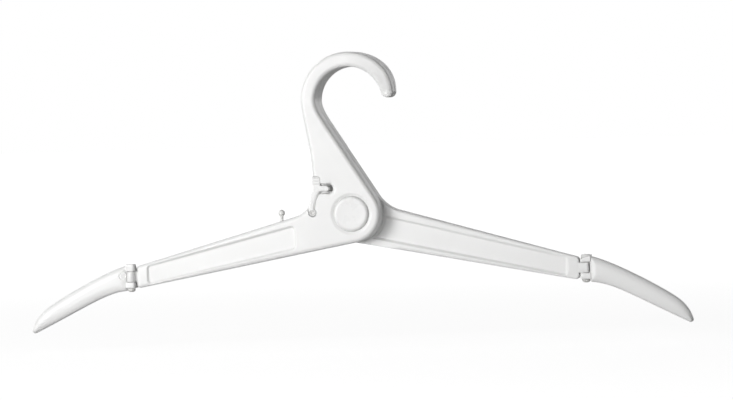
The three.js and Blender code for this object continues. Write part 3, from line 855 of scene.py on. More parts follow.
def front_outline() -> Points:
    """Outline of the front half, with the latch's slot cut in from the stem's left side."""
    pen = Pen(STEM)
    hook_outline(pen)
    pen.line(BODY.waist_x, LATCH.slot_top + 2 * LATCH.slot_corner)
    radius = LATCH.slot_height / 2
    foot_z = LATCH.slot_top - LATCH.slot_height
    lean = (BODY.waist_x - LATCH.flare_x) / (LATCH.flare_top - LATCH.flare_z)
    low_x = BODY.waist_x - lean * (LATCH.flare_top - foot_z)
    pen.corner(BODY.waist_x, LATCH.slot_top, (LATCH.slot_end, LATCH.slot_top), LATCH.slot_corner)
    pen.arc(LATCH.slot_end - radius, foot_z + radius, radius, 90.0, -90.0)
    pen.corner(low_x, foot_z, (LATCH.flare_x, LATCH.flare_z), LATCH.slot_corner)
    pen.line(LATCH.flare_x, LATCH.flare_z)
    arm_x = LATCH.flare_x - LATCH.flare_run
    handle_x = arm_x + LATCH.flare_run / 2
    pen.curve(
        (LATCH.flare_x - lean * LATCH.flare_bend, LATCH.flare_z - LATCH.flare_bend),
        (handle_x, arm_top(handle_x)),
        (arm_x, arm_top(arm_x)),
    )
    end = -BODY.arm_end
    pen.corner(end, BODY.arm_top, (end, ARM_FOOT), BODY.end_corner)
    foot = math.degrees(FOOT_SLOPE) - 90.0
    boss = on_circle(BODY.boss, foot)
    pen.corner(end, ARM_FOOT, boss, BODY.end_corner)
    pen.arc(0.0, 0.0, BODY.boss, foot, 90.0 - BODY.stem_slope)
    return pen.closed()


def rear_outline() -> Points:
    """Outline of the rear half: the same hook and boss, with the arm to the right."""
    rise = STEM[1] + STEM_RISE * STEM[0] - arm_top(0.0)
    corner_x = rise / (STEM_RISE - grade(BODY.arm_slope))
    corner_z = float(arm_top(corner_x))
    run = BODY.neck * grade((BODY.stem_slope - BODY.arm_slope) / 2)
    arm_x = corner_x + run * math.cos(math.radians(BODY.arm_slope))
    top_x = corner_x - run * math.cos(math.radians(BODY.stem_slope))
    top_z = corner_z + run * math.sin(math.radians(BODY.stem_slope))
    pen = Pen((arm_x, arm_top(arm_x)))
    pen.curve((corner_x, corner_z), (top_x, top_z))
    hook_outline(pen)
    pen.line(BODY.waist_x, LATCH.slot_top)
    spot = on_circle(BODY.boss, BODY.flank_meet)
    turn = math.radians(BODY.flank_meet)
    handle = (spot[0] + BODY.flank_foot * math.sin(turn), spot[1] - BODY.flank_foot * math.cos(turn))
    pen.curve((BODY.waist_x, LATCH.slot_top - BODY.flank_drop), handle, spot)
    foot = 270.0 - math.degrees(FOOT_SLOPE)
    pen.arc(0.0, 0.0, BODY.boss, BODY.flank_meet, foot)
    end = BODY.arm_end
    pen.corner(end, ARM_FOOT, (end, BODY.arm_top), BODY.end_corner)
    pen.corner(end, BODY.arm_top, (arm_x, arm_top(arm_x)), BODY.end_corner)
    return pen.closed()


def web_outline(side: Side, round_boss: bool) -> Points:
    """Outline of an arm's sunk web.

    Args:
        side: which half.
        round_boss: whether the web starts along a circle round the boss.

    Returns:
        The closed outline.
    """
    fall = (WEB.rim_root - WEB.rim_end) / (WEB.end - BODY.boss)
    corner = WEB.corner
    circle = BODY.boss + WEB.boss_margin

    def rim(x: Points | float) -> Points | float:
        """Height of the upper rim at a distance from the pivot."""
        return WEB.rim_end + fall * (WEB.end - x)

    def top(x: float) -> float:
        """Height of the web's upper edge."""
        return float(arm_top(x) - rim(x))

    def bottom(x: float) -> float:
        """Height of the web's lower edge."""
        return float(arm_bottom(x) + WEB.foot_share * rim(x))

    def leaves(line: Callable[[float], float]) -> Points:
        """Where a straight line leaves the circle round the boss."""
        rise = line(0.0)
        slope = line(1.0) - rise
        square = 1 + slope**2
        x = (math.sqrt(circle**2 * square - rise**2) - rise * slope) / square
        return np.array([x, line(x)])

    if round_boss:
        start = leaves(top)
        foot = leaves(bottom)
        pen = Pen(start)
    else:
        pen = Pen((WEB.start + corner, top(WEB.start + corner)))
    pen.corner(WEB.end, top(WEB.end), (WEB.end, bottom(WEB.end)), corner)
    if round_boss:
        pen.corner(WEB.end, bottom(WEB.end), foot, corner)
        angles = [math.degrees(math.atan2(p[1], p[0])) for p in (foot, start)]
        pen.arc(0.0, 0.0, circle, *angles)
    else:
        low = (WEB.start, bottom(WEB.start))
        high = (WEB.start, top(WEB.start))
        pen.corner(WEB.end, bottom(WEB.end), low, corner)
        pen.corner(*low, high, corner)
        pen.corner(*high, (WEB.start + corner, top(WEB.start + corner)), corner)
    outline = pen.closed()
    return outline if side is Side.REAR else (outline * np.array([-1.0, 1.0]))[::-1].copy()


def plate_outline(left_gap: float, right_gap: float, pad_gap: float) -> Points:
    """Outline of the lever's plate with its pad, nose and hub.

    Args:
        left_gap: how much it is grown on the silhouette's side.
        right_gap: how much it is grown on the nose's side.
        pad_gap: how much it is grown above the nose and over the pad.

    Returns:
        The closed outline.
    """
    left = BODY.waist_x - LATCH.proud - left_gap
    right = LATCH.pad_right + pad_gap
    top = LATCH.pad_top + pad_gap
    nose = LATCH.nose_height / 2 + right_gap
    middle = LATCH.nose_top - LATCH.nose_height / 2
    pen = Pen((left, top), step=0.5)
    pen.line(left, LATCH.flare_top)
    pen.line(LATCH.flare_x - LATCH.proud - left_gap, LATCH.flare_z)
    pen.arc(LATCH.x, LATCH.z, LATCH.hub + left_gap, 180.0, 270.0)
    pen.arc(LATCH.x, LATCH.z, LATCH.hub + right_gap, 270.0, 360.0 + LATCH.hub_leave)
    pen.curve((right - LATCH.neck_x, middle - nose - LATCH.neck_z), (right, middle - nose))
    nose_x = LATCH.nose_tip - LATCH.nose_height / 2
    pen.arc(nose_x, middle, nose, -90.0, 90.0)
    pen.line(right, middle + nose)
    pen.corner(right, top, (left, top), LATCH.pad_corner)
    pen.line(left, top)
    return pen.closed()


def about_latch(outline: Points, degrees: float) -> Points:
    """An outline turned about the lever's hinge, the way in which the lever is pressed."""
    turn = math.radians(degrees)
    rel = outline - np.array([LATCH.x, LATCH.z])
    x = rel[:, 0] * math.cos(turn) - rel[:, 1] * math.sin(turn)
    z = rel[:, 0] * math.sin(turn) + rel[:, 1] * math.cos(turn)
    return np.column_stack([x + LATCH.x, z + LATCH.z])


def round_latch(radius: float, count: int = SEAT_SIDES) -> Points:
    """A circle about the lever's hinge."""
    return disc(radius, LATCH.x, LATCH.z, count)


def tail_outline(grow: float, top: float) -> Points:
    """Outline of the lever's tail, an L inside the arm.

    Args:
        grow: how much it is grown by a clearance.
        top: height of its upper end.

    Returns:
        The closed outline.
    """
    width = LATCH.tail_root / 2 + grow
    middle = LATCH.z - LATCH.tail_drop
    radius = LATCH.tail_height / 2 + grow
    end = LATCH.knob_x - LATCH.stem_radius - LATCH.tail_past
    pen = Pen((LATCH.x - width, top), step=0.6)
    pen.line(LATCH.x - width, middle + radius)
    pen.arc(end, middle, radius, 90.0, 270.0)
    pen.line(LATCH.x + width, middle - radius)
    pen.line(LATCH.x + width, top)
    pen.line(LATCH.x - width, top)
    return pen.closed()


def thinned(height: Points, points: Points, side: Side) -> Points:
    """Moves a half's heights in where the hook thins to its tip and the arm to its end.

    A height's share of the full depth is kept between a lower and an upper limit. Both limits move
    in a straight line along the arm, and the upper one falls with the square of the turn to the tip.

    Args:
        height: heights of a half of even depth, from the parting plane.
        points: where they are.
        side: which half.

    Returns:
        The moved heights.
    """
    share = (height - SPLIT) / BODY.depth
    run = side.value * points[:, 0] - BODY.taper_from
    along = np.clip(run / (BODY.arm_end - BODY.taper_from), 0.0, 1.0)
    turn = np.degrees(np.arctan2(points[:, 1] - HOOK.z, points[:, 0] - HOOK.x))
    in_hook = (points[:, 1] > HOOK.z - HOOK.tip_width) & (points[:, 0] > HOOK.x)
    to_tip = np.where(in_hook, np.clip((90.0 - turn) / (90.0 - HOOK.tip_angle), 0.0, 1.0), 0.0)
    low = SPLIT + BODY.arm_inset * along
    arm_outer = SPLIT + BODY.arm_inset + BODY.arm_depth
    high = OUTER_FACE + (arm_outer - OUTER_FACE) * along
    high -= (BODY.depth - HOOK.tip_depth) * to_tip**2
    return low + (high - low) * share


# The mouldings


def hinge_bore() -> Points:
    """Outline of a wing hinge's bore, in X and Y."""
    return disc(WING.pin + GAP, WING.axis_x, WING.axis_y, PIN_SIDES)


def knuckle(side: Side) -> bpy.types.Object:
    """The arm's knuckle between the wing's ears: an outline in X and Y carried along Z."""
    low = WING.bottom + WING.lower_ear + GAP
    high = WING.top - WING.upper_ear - GAP
    near = WING.axis_x - WING.barrel
    far = WING.axis_x + WING.barrel
    root = near - GAP - KNUCKLE.root
    inner = SPLIT + BODY.arm_inset
    shoulder = WING.axis_y - KNUCKLE.shoulder
    pen = Pen((root, inner), step=0.5)
    pen.corner(far, inner, (far, WING.axis_y), KNUCKLE.corner)
    pen.arc(WING.axis_x, WING.axis_y, WING.barrel, 0.0, 180.0)
    pen.corner(near, shoulder, (root, shoulder), KNUCKLE.shoulder_corner)
    pen.line(root, shoulder)
    pen.line(root, inner)
    outline = pen.closed()
    insets = [0.06, 0.2, KNUCKLE.rim, 0.7]

    def face(level: float, way: float) -> HeightMap:
        """A flat end face with a rounded edge."""
        return lambda points, depth: level - way * rolled(depth, KNUCKLE.rim)

    moulding = Moulding(outline, face(high, 1.0), face(low, -1.0), insets, [hinge_bore()], spacing=1.5)
    return moulding.piece("knuckle", side.carried_up)


def cap_lip() -> Recess:
    """The soft lip of a half round its cap."""
    ring = disc(JOINT.cap + JOINT.lip_out)
    return Recess(ring, OUTER_FACE - JOINT.lip_drop, JOINT.lip_run)


@dataclass
class HookHalf:
    """One half of the hanger: hook, stem, boss and arm in one moulding."""

    side: Side
    name: str
    outline: Points
    edge: float = BODY.edge
    parting_edge: float = 0.35
    rim_roll: float = 2.2
    rim_roll_end: float = 1.0
    slot_edge: float = 0.5
    tip_edge: float = 3.6
    seats: list[Recess] = field(default_factory=list)
    inner_seats: list[Recess] = field(default_factory=list)

    def __post_init__(self) -> None:
        """Adds the seats that both halves have at the pivot, and the webs."""
        self.webs = {
            round_boss: Recess(web_outline(self.side, round_boss), 0.0, WEB.wall)
            for round_boss in (False, True)
        }
        self.seats = [
            cap_lip(),
            Recess(disc(JOINT.cap + JOINT.cap_gap), CAP_FLOOR, SEAT_WALL),
            Recess(disc(JOINT.head + GAP), OUTER_FACE - JOINT.head_seat),
            *self.seats,
        ]
        washer = Recess(disc(JOINT.washer + GAP), JOINT.washer_thick / 2 + GAP, TRACK_WALL)
        self.inner_seats = [washer, *self.inner_seats]

    def outer(self, points: Points, depth: Points) -> Points:
        """Outer face: flat with a quarter-round edge, less the web and the seats."""
        height = OUTER_FACE - rolled(depth, self.roll(points, self.edge))
        height -= WEB.depth * self.webs[False].share(points)
        height = thinned(height, points, self.side)
        for seat in self.seats:
            height = np.minimum(height, seat.carve(height, points))
        return height

    def inner(self, points: Points, depth: Points) -> Points:
        """Inner face: flat at the parting plane with a small edge, with the web and the seats."""
        height = SPLIT + rolled(depth, self.inner_roll(points))
        height += WEB.depth * self.webs[True].share(points)
        height = thinned(height, points, self.side)
        for seat in self.inner_seats:
            height = seat.carve(height, points)
        return height

    def roll(self, points: Points, radius: float) -> Points:
        """Radius of the rounded edge: smaller round the latch's slot, and larger at the hook's tip."""
        x, z = points.T
        across = smooth((EDGE.slot_reach - np.abs(x - EDGE.slot_x)) / EDGE.slot_fade)
        beside = np.abs(z - LATCH.slot_top + LATCH.slot_height / 2)
        upright = smooth((EDGE.slot_rise - beside) / EDGE.slot_blur)
        turn = np.degrees(np.arctan2(z - HOOK.z, x - HOOK.x))
        near = (turn > EDGE.tip_past) * (z > HOOK.z - HOOK.tip_width)
        tip = smooth((EDGE.tip_from - turn) / EDGE.tip_fade) * near
        plain = radius + (self.tip_edge - radius) * tip
        return plain + (self.slot_edge - plain) * across * upright

    def inner_roll(self, points: Points) -> Points:
        """Radius of the inner edge: small at the hook, rounder along the arm, less so to its end."""
        out = self.side.value * points[:, 0]
        share = np.clip((out - BODY.taper_from) / (BODY.arm_end - BODY.taper_from), 0.0, 1.0)
        rim = self.rim_roll + (self.rim_roll_end - self.rim_roll) * share
        grown = smooth((out - EDGE.arm_from) / EDGE.arm_fade)
        return self.parting_edge + (rim - self.parting_edge) * grown

    def build(self) -> bpy.types.Object:
        """Builds the half with its knuckle.

        Returns:
            The piece.
        """
        insets = edge_rows(self.edge, (0.5, 1.0))
        bore = disc(JOINT.post + GAP, count=64)
        recesses = [*self.webs.values(), *self.seats, *self.inner_seats]
        guides = [ring for recess in recesses for ring in recess.guides()]
        moulding = Moulding(self.outline, self.outer, self.inner, insets, [bore], guides)
        piece = moulding.piece(self.name, self.side.in_place)
        combine(piece, [knuckle(self.side)], Join.ADD)
        return piece


def cutter(outline: Points, low: float, high: float, side: Side) -> bpy.types.Object:
    """A block to cut with: an outline in X and Y carried from one height to another.

    Args:
        outline: the outline on the right-hand side, in X and Y.
        low, high: its heights.
        side: the half that it belongs to.

    Returns:
        The object.
    """
    moulding = Moulding(
        outline,
        lambda points, depth: np.full(len(points), high),
        lambda points, depth: np.full(len(points), low),
        [0.2],
        spacing=1.5,
    )
    return moulding.piece("cutter", side.carried_up)


def stop_track() -> Points:
    """Outline of the groove for the rear half's stop lug: a slot bent round the pivot."""
    ring = JOINT.stop_ring
    slack = math.degrees(GAP / ring)
    start = JOINT.stop_angle + slack
    end = JOINT.stop_angle - JOINT.fold - slack
    half = JOINT.stop_radius + GAP
    pen = Pen(on_circle(ring + half, start))
    pen.arc(0.0, 0.0, ring + half, start, end)
    pen.arc(*on_circle(ring, end), half, end, end - 180.0)
    pen.arc(0.0, 0.0, ring - half, end, start)
    pen.arc(*on_circle(ring, start), half, start + 180.0, start)
    return pen.closed()


def front_half() -> HookHalf:
    """The front half with the latch's pockets."""
    groove = plate_outline(LATCH.seam, LATCH.groove, LATCH.pad_gap)
    hub = LATCH.hub + LATCH.seam
    tail = tail_outline(GAP, LATCH.z - hub)
    turns = (0.0, 0.5 * LATCH.throw, LATCH.throw)
    return HookHalf(
        Side.FRONT,
        "front_moulding",
        front_outline(),
        seats=[
            *[Recess(about_latch(groove, turn), PLATE_BACK - GAP, TRACK_WALL) for turn in turns],
            Recess(round_latch(hub), PLATE_BACK - LATCH.sleeve - GAP, SEAT_WALL),
            Recess(round_latch(LATCH.well - GAP), LATCH.well_floor, STEEP_WALL),
            Recess(round_latch(LATCH.pin_radius + GAP, PIN_SIDES), LATCH.hole_floor, STEEP_WALL),
        ],
        inner_seats=[
            Recess(stop_track(), JOINT.stop_height + JOINT.stop_gap, TRACK_WALL),
            *[Recess(about_latch(tail, turn), PLATE_BACK + LATCH.tail_gap, SEAT_WALL) for turn in turns],
        ],
    )


def rear_half() -> HookHalf:
    """The rear half with the blind slot for the latch's nose and the stop lug."""
    radius = LATCH.slot_height / 2
    outside = BODY.waist_x - 4.0
    pen = Pen((outside, LATCH.slot_top))
    pen.line(outside, LATCH.slot_top - LATCH.slot_height)
    pen.arc(LATCH.slot_end - radius, LATCH.slot_top - radius, radius, -90.0, 90.0)
    lug = on_circle(JOINT.stop_ring, JOINT.stop_angle)
    return HookHalf(
        Side.REAR,
        "rear_moulding",
        rear_outline(),
        inner_seats=[
            Recess(pen.closed(), SPLIT + LATCH.slot_depth, 0.4),
            Recess(disc(JOINT.stop_radius, *lug, PIN_SIDES), SPLIT - JOINT.stop_height, SEAT_WALL),
        ],
    )


def knob_gate() -> bpy.types.Object:
    """The cutter for the slot in the arm's top through which the knob's stem passes."""
    width = LATCH.stem_radius + GAP
    sway = LATCH.tail_drop * math.sin(math.radians(LATCH.throw))
    pen = Pen((-LATCH.knob_x - sway, KNOB_Y - width), step=0.3)
    pen.arc(-LATCH.knob_x, KNOB_Y, width, -90.0, 90.0)
    pen.arc(-LATCH.knob_x - sway, KNOB_Y, width, 90.0, 270.0)
    foot = LATCH.z - LATCH.tail_drop
    return cutter(pen.closed(), foot, LATCH.knob_z + 3.0, Side.FRONT)


@dataclass
class LatchLever:
    """The latch lever: a plate with a ribbed pad, a nose and a tail inside the arm."""

    ribs: int = 3
    rib_pitch: float = 1.9
    rib_proud: float = 0.25
    edge: float = 0.9
    finger_edge: float = 1.5
    pad_edge: float = 0.2
    rib_first: float = 0.75
    rib_rows: int = 6
    finger_lean: float = 0.19
    inner_edge: float = 0.3
    head_sunk: float = 0.7
    tooth_root: float = 1.5
    tooth_grow: float = 0.6
    tail_clear: float = 1.5
    right_fade: float = 0.8
    pad_from: float = 0.5
    pad_fade: float = 1.5
    rib_margin: float = 0.2
    rib_fade: float = 0.4
    rib_end: float = 0.9

    def roll(self, points: Points) -> Points:
        """Radius of the rounded edge: wider along the finger's right side, small round the pad."""
        x, z = points.T
        middle = LATCH.x + self.finger_lean * (z - LATCH.flare_z)
        right = smooth((x - middle) / self.right_fade + 0.5)
        high = smooth((z - LATCH.flare_top + self.pad_from) / self.pad_fade)
        beside = self.finger_edge + (self.pad_edge - self.finger_edge) * high
        return self.edge + (beside - self.edge) * right

    def outer(self, points: Points, depth: Points) -> Points:
        """Outer face: flush with the half, rounded at its edge, with ridges across the pad."""
        height = OUTER_FACE - rolled(depth, self.roll(points))
        down = (LATCH.pad_top - self.rib_first - points[:, 1]) / self.rib_pitch
        above = points[:, 1] - LATCH.pad_top + self.ribs * self.rib_pitch + self.rib_margin
        ridge = 0.5 + 0.5 * np.cos(2 * math.pi * down)
        height += self.rib_proud * ridge**2 * smooth(above / self.rib_fade) * smooth(depth / self.rib_end)
        return self.pin_seat().carve(height, points)

    def pin_seat(self) -> Recess:
        """The seat of the pin's head."""
        return Recess(round_latch(LATCH.pin_head + GAP), OUTER_FACE - self.head_sunk, SEAT_WALL)

    def tooth(self) -> Recess:
        """The nose carried on towards the rear half."""
        radius = LATCH.nose_height / 2
        middle = LATCH.nose_top - radius
        root = LATCH.pad_right - self.tooth_root
        pen = Pen((root, middle + radius), step=0.5)
        pen.line(root, middle - radius)
        pen.arc(LATCH.nose_tip - radius, middle, radius + self.tooth_grow, -90.0, 90.0)
        return Recess(pen.closed(), SPLIT + GAP)

    def inner(self, points: Points, depth: Points) -> Points:
        """Inner face: flat, and deeper at the nose."""
        return self.tooth().carve(PLATE_BACK + rolled(depth, self.inner_edge), points)

    def tail(self) -> bpy.types.Object:
        """The tail: flat in front, and thinner beside the pin, where it leaves the hub.

        Returns:
            The mesh.
        """
        thin = PLATE_BACK - LATCH.sleeve - LATCH.tail_back
        clear = LATCH.hub + self.tail_clear

        def back(points: Points, depth: Points) -> Points:
            """The face towards the rear half, which steps forward round the pin."""
            reach = np.hypot(points[:, 0] - LATCH.x, points[:, 1] - LATCH.z)
            step = thin * smooth((clear - reach) / 0.3 + 0.5)
            return LATCH.tail_back + step + rolled(depth, self.inner_edge)

        ring = on_circle(clear, np.linspace(250.0, 290.0, 12), LATCH.x, LATCH.z)
        moulding = Moulding(
            tail_outline(0.0, LATCH.z - LATCH.pin_radius - 0.6),
            lambda points, depth: PLATE_BACK + 0.2 - rolled(depth, self.inner_edge),
            back,
            [0.05, 0.15, self.inner_edge],
            guides=[ring + np.array([0.0, d]) for d in (-0.15, 0.0, 0.15)],
            spacing=0.9,
        )
        return moulding.piece("tail", Side.FRONT.in_place)

    def build(self) -> bpy.types.Object:
        """Builds the lever.

        Returns:
            The piece.
        """
        turns = range(-self.rib_rows // 2, self.rib_rows * self.ribs)
        first = LATCH.pad_top - self.rib_first
        rows = [first - self.rib_pitch * k / self.rib_rows for k in turns]
        x = np.linspace(BODY.waist_x, LATCH.pad_right, 9)
        guides = [np.column_stack([x, np.full(9, z)]) for z in rows]
        guides += [*self.pin_seat().guides(), *self.tooth().guides()]
        moulding = Moulding(
            plate_outline(0.0, 0.0, 0.0),
            self.outer,
            self.inner,
            [0.02, 0.08, 0.18, 0.32, 0.5, self.edge, 1.2, self.finger_edge],
            [round_latch(LATCH.pin_radius + GAP, PIN_SIDES)],
            guides,
            spacing=1.4,
        )
        piece = moulding.piece("lever_moulding", Side.FRONT.in_place)
        combine(piece, [self.tail()], Join.ADD)
        return piece


@dataclass
class PivotCap:
    """A round cap over the pivot: a profile with a rounded rim carried round the pivot's axis."""

    side: Side
    dish: float = 0.12
    dish_run: float = 4.0
    flat_from: float = 0.4
    eye: float = 0.8

    def build(self) -> bpy.types.Object:
        """Builds the cap.

        Returns:
            The piece.
        """
        seat = CAP_FLOOR + GAP
        radius = JOINT.cap
        rise = JOINT.cap_rise
        flat = radius - JOINT.cap_rim
        top = JOINT.cap_thick
        turn = np.linspace(0.0, math.pi / 2, 11)
        curve = np.column_stack(
            [flat + JOINT.cap_rim * np.cos(turn), top - rise + rise * np.sin(turn)],
        )
        inward = np.linspace(flat - self.flat_from, self.eye, 10)
        face = np.column_stack([inward, top - self.dish * smooth((flat - inward) / self.dish_run)])
        chamfer = JOINT.chamfer
        foot = np.array([[0.0, 0.0], [radius - chamfer, 0.0], [radius, chamfer]])
        profile = np.concatenate([foot, curve, face, [[0.0, face[-1, 1]]]])
        verts, faces = turned(profile, 96)
        placed = np.column_stack([verts[:, 0], self.side.value * (verts[:, 2] + seat), verts[:, 1]])
        name = "front_cap" if self.side is Side.FRONT else "rear_cap"
        return make_piece(name, placed, faces)


def release_knob() -> bpy.types.Object:
    """The knob: a ball on a stem, as one profile carried round its upright axis."""
    foot = LATCH.z - LATCH.tail_drop + GAP
    start = math.asin(LATCH.stem_radius / LATCH.knob_radius)
    turn = np.linspace(start, math.pi, 22)[:-1]
    ball = np.column_stack(
        [LATCH.knob_radius * np.sin(turn), LATCH.knob_z - LATCH.knob_radius * np.cos(turn)],
    )
    chamfer = 0.15
    stem = np.array(
        [[0.0, foot], [LATCH.stem_radius - chamfer, foot], [LATCH.stem_radius, foot + chamfer]],
    )
    profile = np.concatenate([stem, ball, [[0.0, LATCH.knob_z + LATCH.knob_radius]]])
    verts, faces = turned(profile, SEAT_SIDES)
    return make_piece("knob", verts + np.array([LATCH.knob_x, -KNOB_Y, 0.0]), faces)


def latch_pin() -> bpy.types.Object:
    """The lever's pin: a flat head with a dimple and a shank, carried round an axis along Y."""
    front = OUTER_FACE - GAP
    under = front - 0.4
    end = 1.6
    head = LATCH.pin_head
    shank = LATCH.pin_radius
    profile = np.array(
        [
            [0.0, end], [shank - 0.2, end], [shank, end + 0.2], [shank, under], [head - 0.1, under],
            [head, front - 0.3], [head, front - 0.12], [head - 0.04, front - 0.04],
            [head - 0.12, front], [1.15, front], [1.0, front - 0.05], [0.85, front - 0.25],
            [0.6, front - 0.35], [0.0, front - 0.38],
        ],
    )
    verts, faces = turned(profile, SEAT_SIDES)
    placed = np.column_stack([verts[:, 0] + LATCH.x, -verts[:, 2], verts[:, 1] + LATCH.z])
    return make_piece("lever_pin", placed, faces)


@dataclass
class ShoulderWing:
    """A shoulder wing: a plate with rounded edges and two ears round its hinge pin."""

    side: Side
    name: str
    root: float = WING.barrel + GAP + WING.root_gap

    def outline(self) -> Points:
        """Outline of the plate from the hinge axis outwards: two bent edges and a round tip."""
        root = self.root
        rise = WING.root_top
        foot = WING.root_foot
        length = WING.reach - WING.axis_x
        tip = np.array([length - WING.tip_radius, WING.tip_z + WING.tip_radius])
        bend = length * WING.bend
        bend_z = WING.tip_z + WING.bend_rise
        low_slope = grade(WING.low_slope)
        high_slope = grade(WING.high_slope)
        low = on_circle(WING.tip_radius, -90.0 - WING.low_slope, *tip)
        nose = on_circle(WING.tip_radius, WING.nose_lean, *tip)
        lean = grade(WING.nose_lean)
        low_root = WING.low_root * (low[0] - root)
        low_tip = WING.low_tip * (low[0] - root)
        over = WING.lean * (length - bend)
        high = WING.high * (bend - root)
        pen = Pen((root, foot + WING.foot_corner))
        pen.curve((root, foot), (root + WING.foot_corner, foot - 0.1))
        pen.curve(
            (root + low_root, foot - WING.hollow),
            (low[0] - low_tip, low[1] + low_tip * low_slope),
            low,
        )
        pen.arc(*tip, WING.tip_radius, -90.0 - WING.low_slope, WING.nose_lean)
        pen.curve(
            (nose[0] - WING.nose_rise * lean, nose[1] + WING.nose_rise),
            (bend + over, bend_z - over * high_slope),
            (bend, bend_z),
        )
        pen.curve(
            (bend - high, bend_z + high * high_slope),
            (root + high, rise - WING.sag),
            (root + WING.top_corner, rise - 0.2),
        )
        pen.curve((root, rise), (root, rise - WING.top_corner))
        pen.line(root, foot + WING.foot_corner)
        return pen.closed()

    def ear(self, low: float, high: float) -> bpy.types.Object:
        """One ear: an outline in X and Y, round the pin, carried along Z.

        Args:
            low, high: the heights of its ends.

        Returns:
            The mesh.
        """
        radius = WING.barrel
        back = -GAP - WING.depth + EAR.back
        front = radius - EAR.flat
        root = self.root + WING.ear_reach
        pen = Pen((root, EAR.heel), step=0.5)
        pen.corner(radius, EAR.heel, (radius, front), EAR.heel_corner)
        pen.corner(radius, front, (-radius, front), EAR.corner)
        pen.corner(-radius, front, (-radius, back), EAR.corner)
        pen.corner(-radius, back, (root, back), EAR.foot_corner)
        pen.line(root, back)
        pen.line(root, EAR.heel)
        place = np.array([WING.axis_x, WING.axis_y])

        def top(points: Points, depth: Points) -> Points:
            """The upper end; on the upper ear it falls off behind the pin, towards the arm."""
            x, y = (points - place).T
            behind = smooth((-EAR.slant_from - y) / EAR.slant_run)
            slant = np.clip((EAR.slant_from - x) / (EAR.slant_from + radius), 0.0, 1.0)
            fall = behind * (WING.back_drop + WING.back_slant * slant) * (high == WING.top)
            return high - fall - rolled(depth, EAR.rim)

        moulding = Moulding(
            pen.closed() + place,
            top,
            lambda points, depth: low + rolled(depth, EAR.rim),
            [EAR.rim * share for share in RIM_SHARES],
            spacing=0.7,
        )
        return moulding.piece("ear", self.side.carried_up)

    def at_hinge(self, verts: Points) -> Points:
        """Moves the plate's points out to the hinge axis on the wing's side."""
        turned_round = np.array([self.side.value, self.side.value, 1.0])
        return (verts + np.array([WING.axis_x, WING.axis_y, 0.0])) * turned_round

    def build(self) -> bpy.types.Object:
        """Builds the wing.

        Returns:
            The piece.
        """
        spot = (WING.ring_out, WING.top - WING.ring_down)
        ring = Recess(disc(WING.ring_radius, *spot, SEAT_SIDES), -GAP - WING.ring_depth, WING.ring_wall)
        button = Recess(disc(WING.button, *spot, SEAT_SIDES), -GAP, WING.button_wall)

        def fall(depth: Points) -> Points:
            """How far a face has fallen at its edge: a quarter of an ellipse, wider than high."""
            return rolled(depth * WING.edge / WING.edge_run, WING.edge)

        def outer(points: Points, depth: Points) -> Points:
            """Outer face: rounded at its edge, with a round groove about a button."""
            plain = -GAP - fall(depth)
            height = ring.carve(plain, points)
            return height + (plain - height) * button.share(points)

        moulding = Moulding(
            self.outline(),
            outer,
            lambda points, depth: -GAP - WING.depth + fall(depth),
            edge_rows(WING.edge_run, (0.4,)),
            guides=[*ring.guides(), *button.guides()],
        )
        piece = moulding.piece(self.name, self.at_hinge)
        ears = [
            self.ear(WING.bottom, WING.bottom + WING.lower_ear),
            self.ear(WING.top - WING.upper_ear, WING.top),
        ]
        combine(piece, ears, Join.ADD)
        bore = cutter(hinge_bore(), WING.bottom - 2.0, WING.top + 2.0, self.side)
        combine(piece, [bore], Join.CUT)
        return piece


def hinge_pin(side: Side, name: str) -> bpy.types.Object:
    """A wing's pin with its domed foot, as a profile carried round the hinge axis."""
    foot = WING.bottom - GAP
    turn = np.linspace(0.0, math.pi / 2, 10)
    out = np.sin(turn) ** WING.dome_power
    down = np.cos(turn) ** WING.dome_power
    dome = np.column_stack([WING.dome * out, foot - WING.dome_height * down])
    top = WING.top - GAP
    chamfer = WING.pin_chamfer
    shank = np.array(
        [[WING.pin, foot], [WING.pin, top - chamfer], [WING.pin - chamfer, top], [0.0, top]],
    )
    verts, faces = turned(np.concatenate([dome, shank]), SEAT_SIDES)
    place = np.array([side.value * WING.axis_x, side.value * WING.axis_y, 0.0])
    return make_piece(name, verts + place, faces)


# Finishes


class Socket(Enum):
    """Kinds of sockets that the finishes' node groups have."""

    NUMBER = "NodeSocketFloat"
    COLOUR = "NodeSocketColor"
    VECTOR = "NodeSocketVector"


def add_node(tree: bpy.types.NodeTree, kind: str, **settings: object) -> bpy.types.Node:
    """A node in a tree with its settings; a setting that names an input gives that input's value."""
    node = tree.nodes.new(kind)
    for key, value in settings.items():
        if hasattr(node, key):
            setattr(node, key, value)
        else:
            node.inputs[key.replace("_", " ")].default_value = value
    return node


def wire(tree: bpy.types.NodeTree, *links: Link) -> None:
    """Links sockets in a tree: each link is a node, its output, the next node and its input."""
    for source, out, sink, into in links:
        tree.links.new(source.outputs[out], sink.inputs[into])


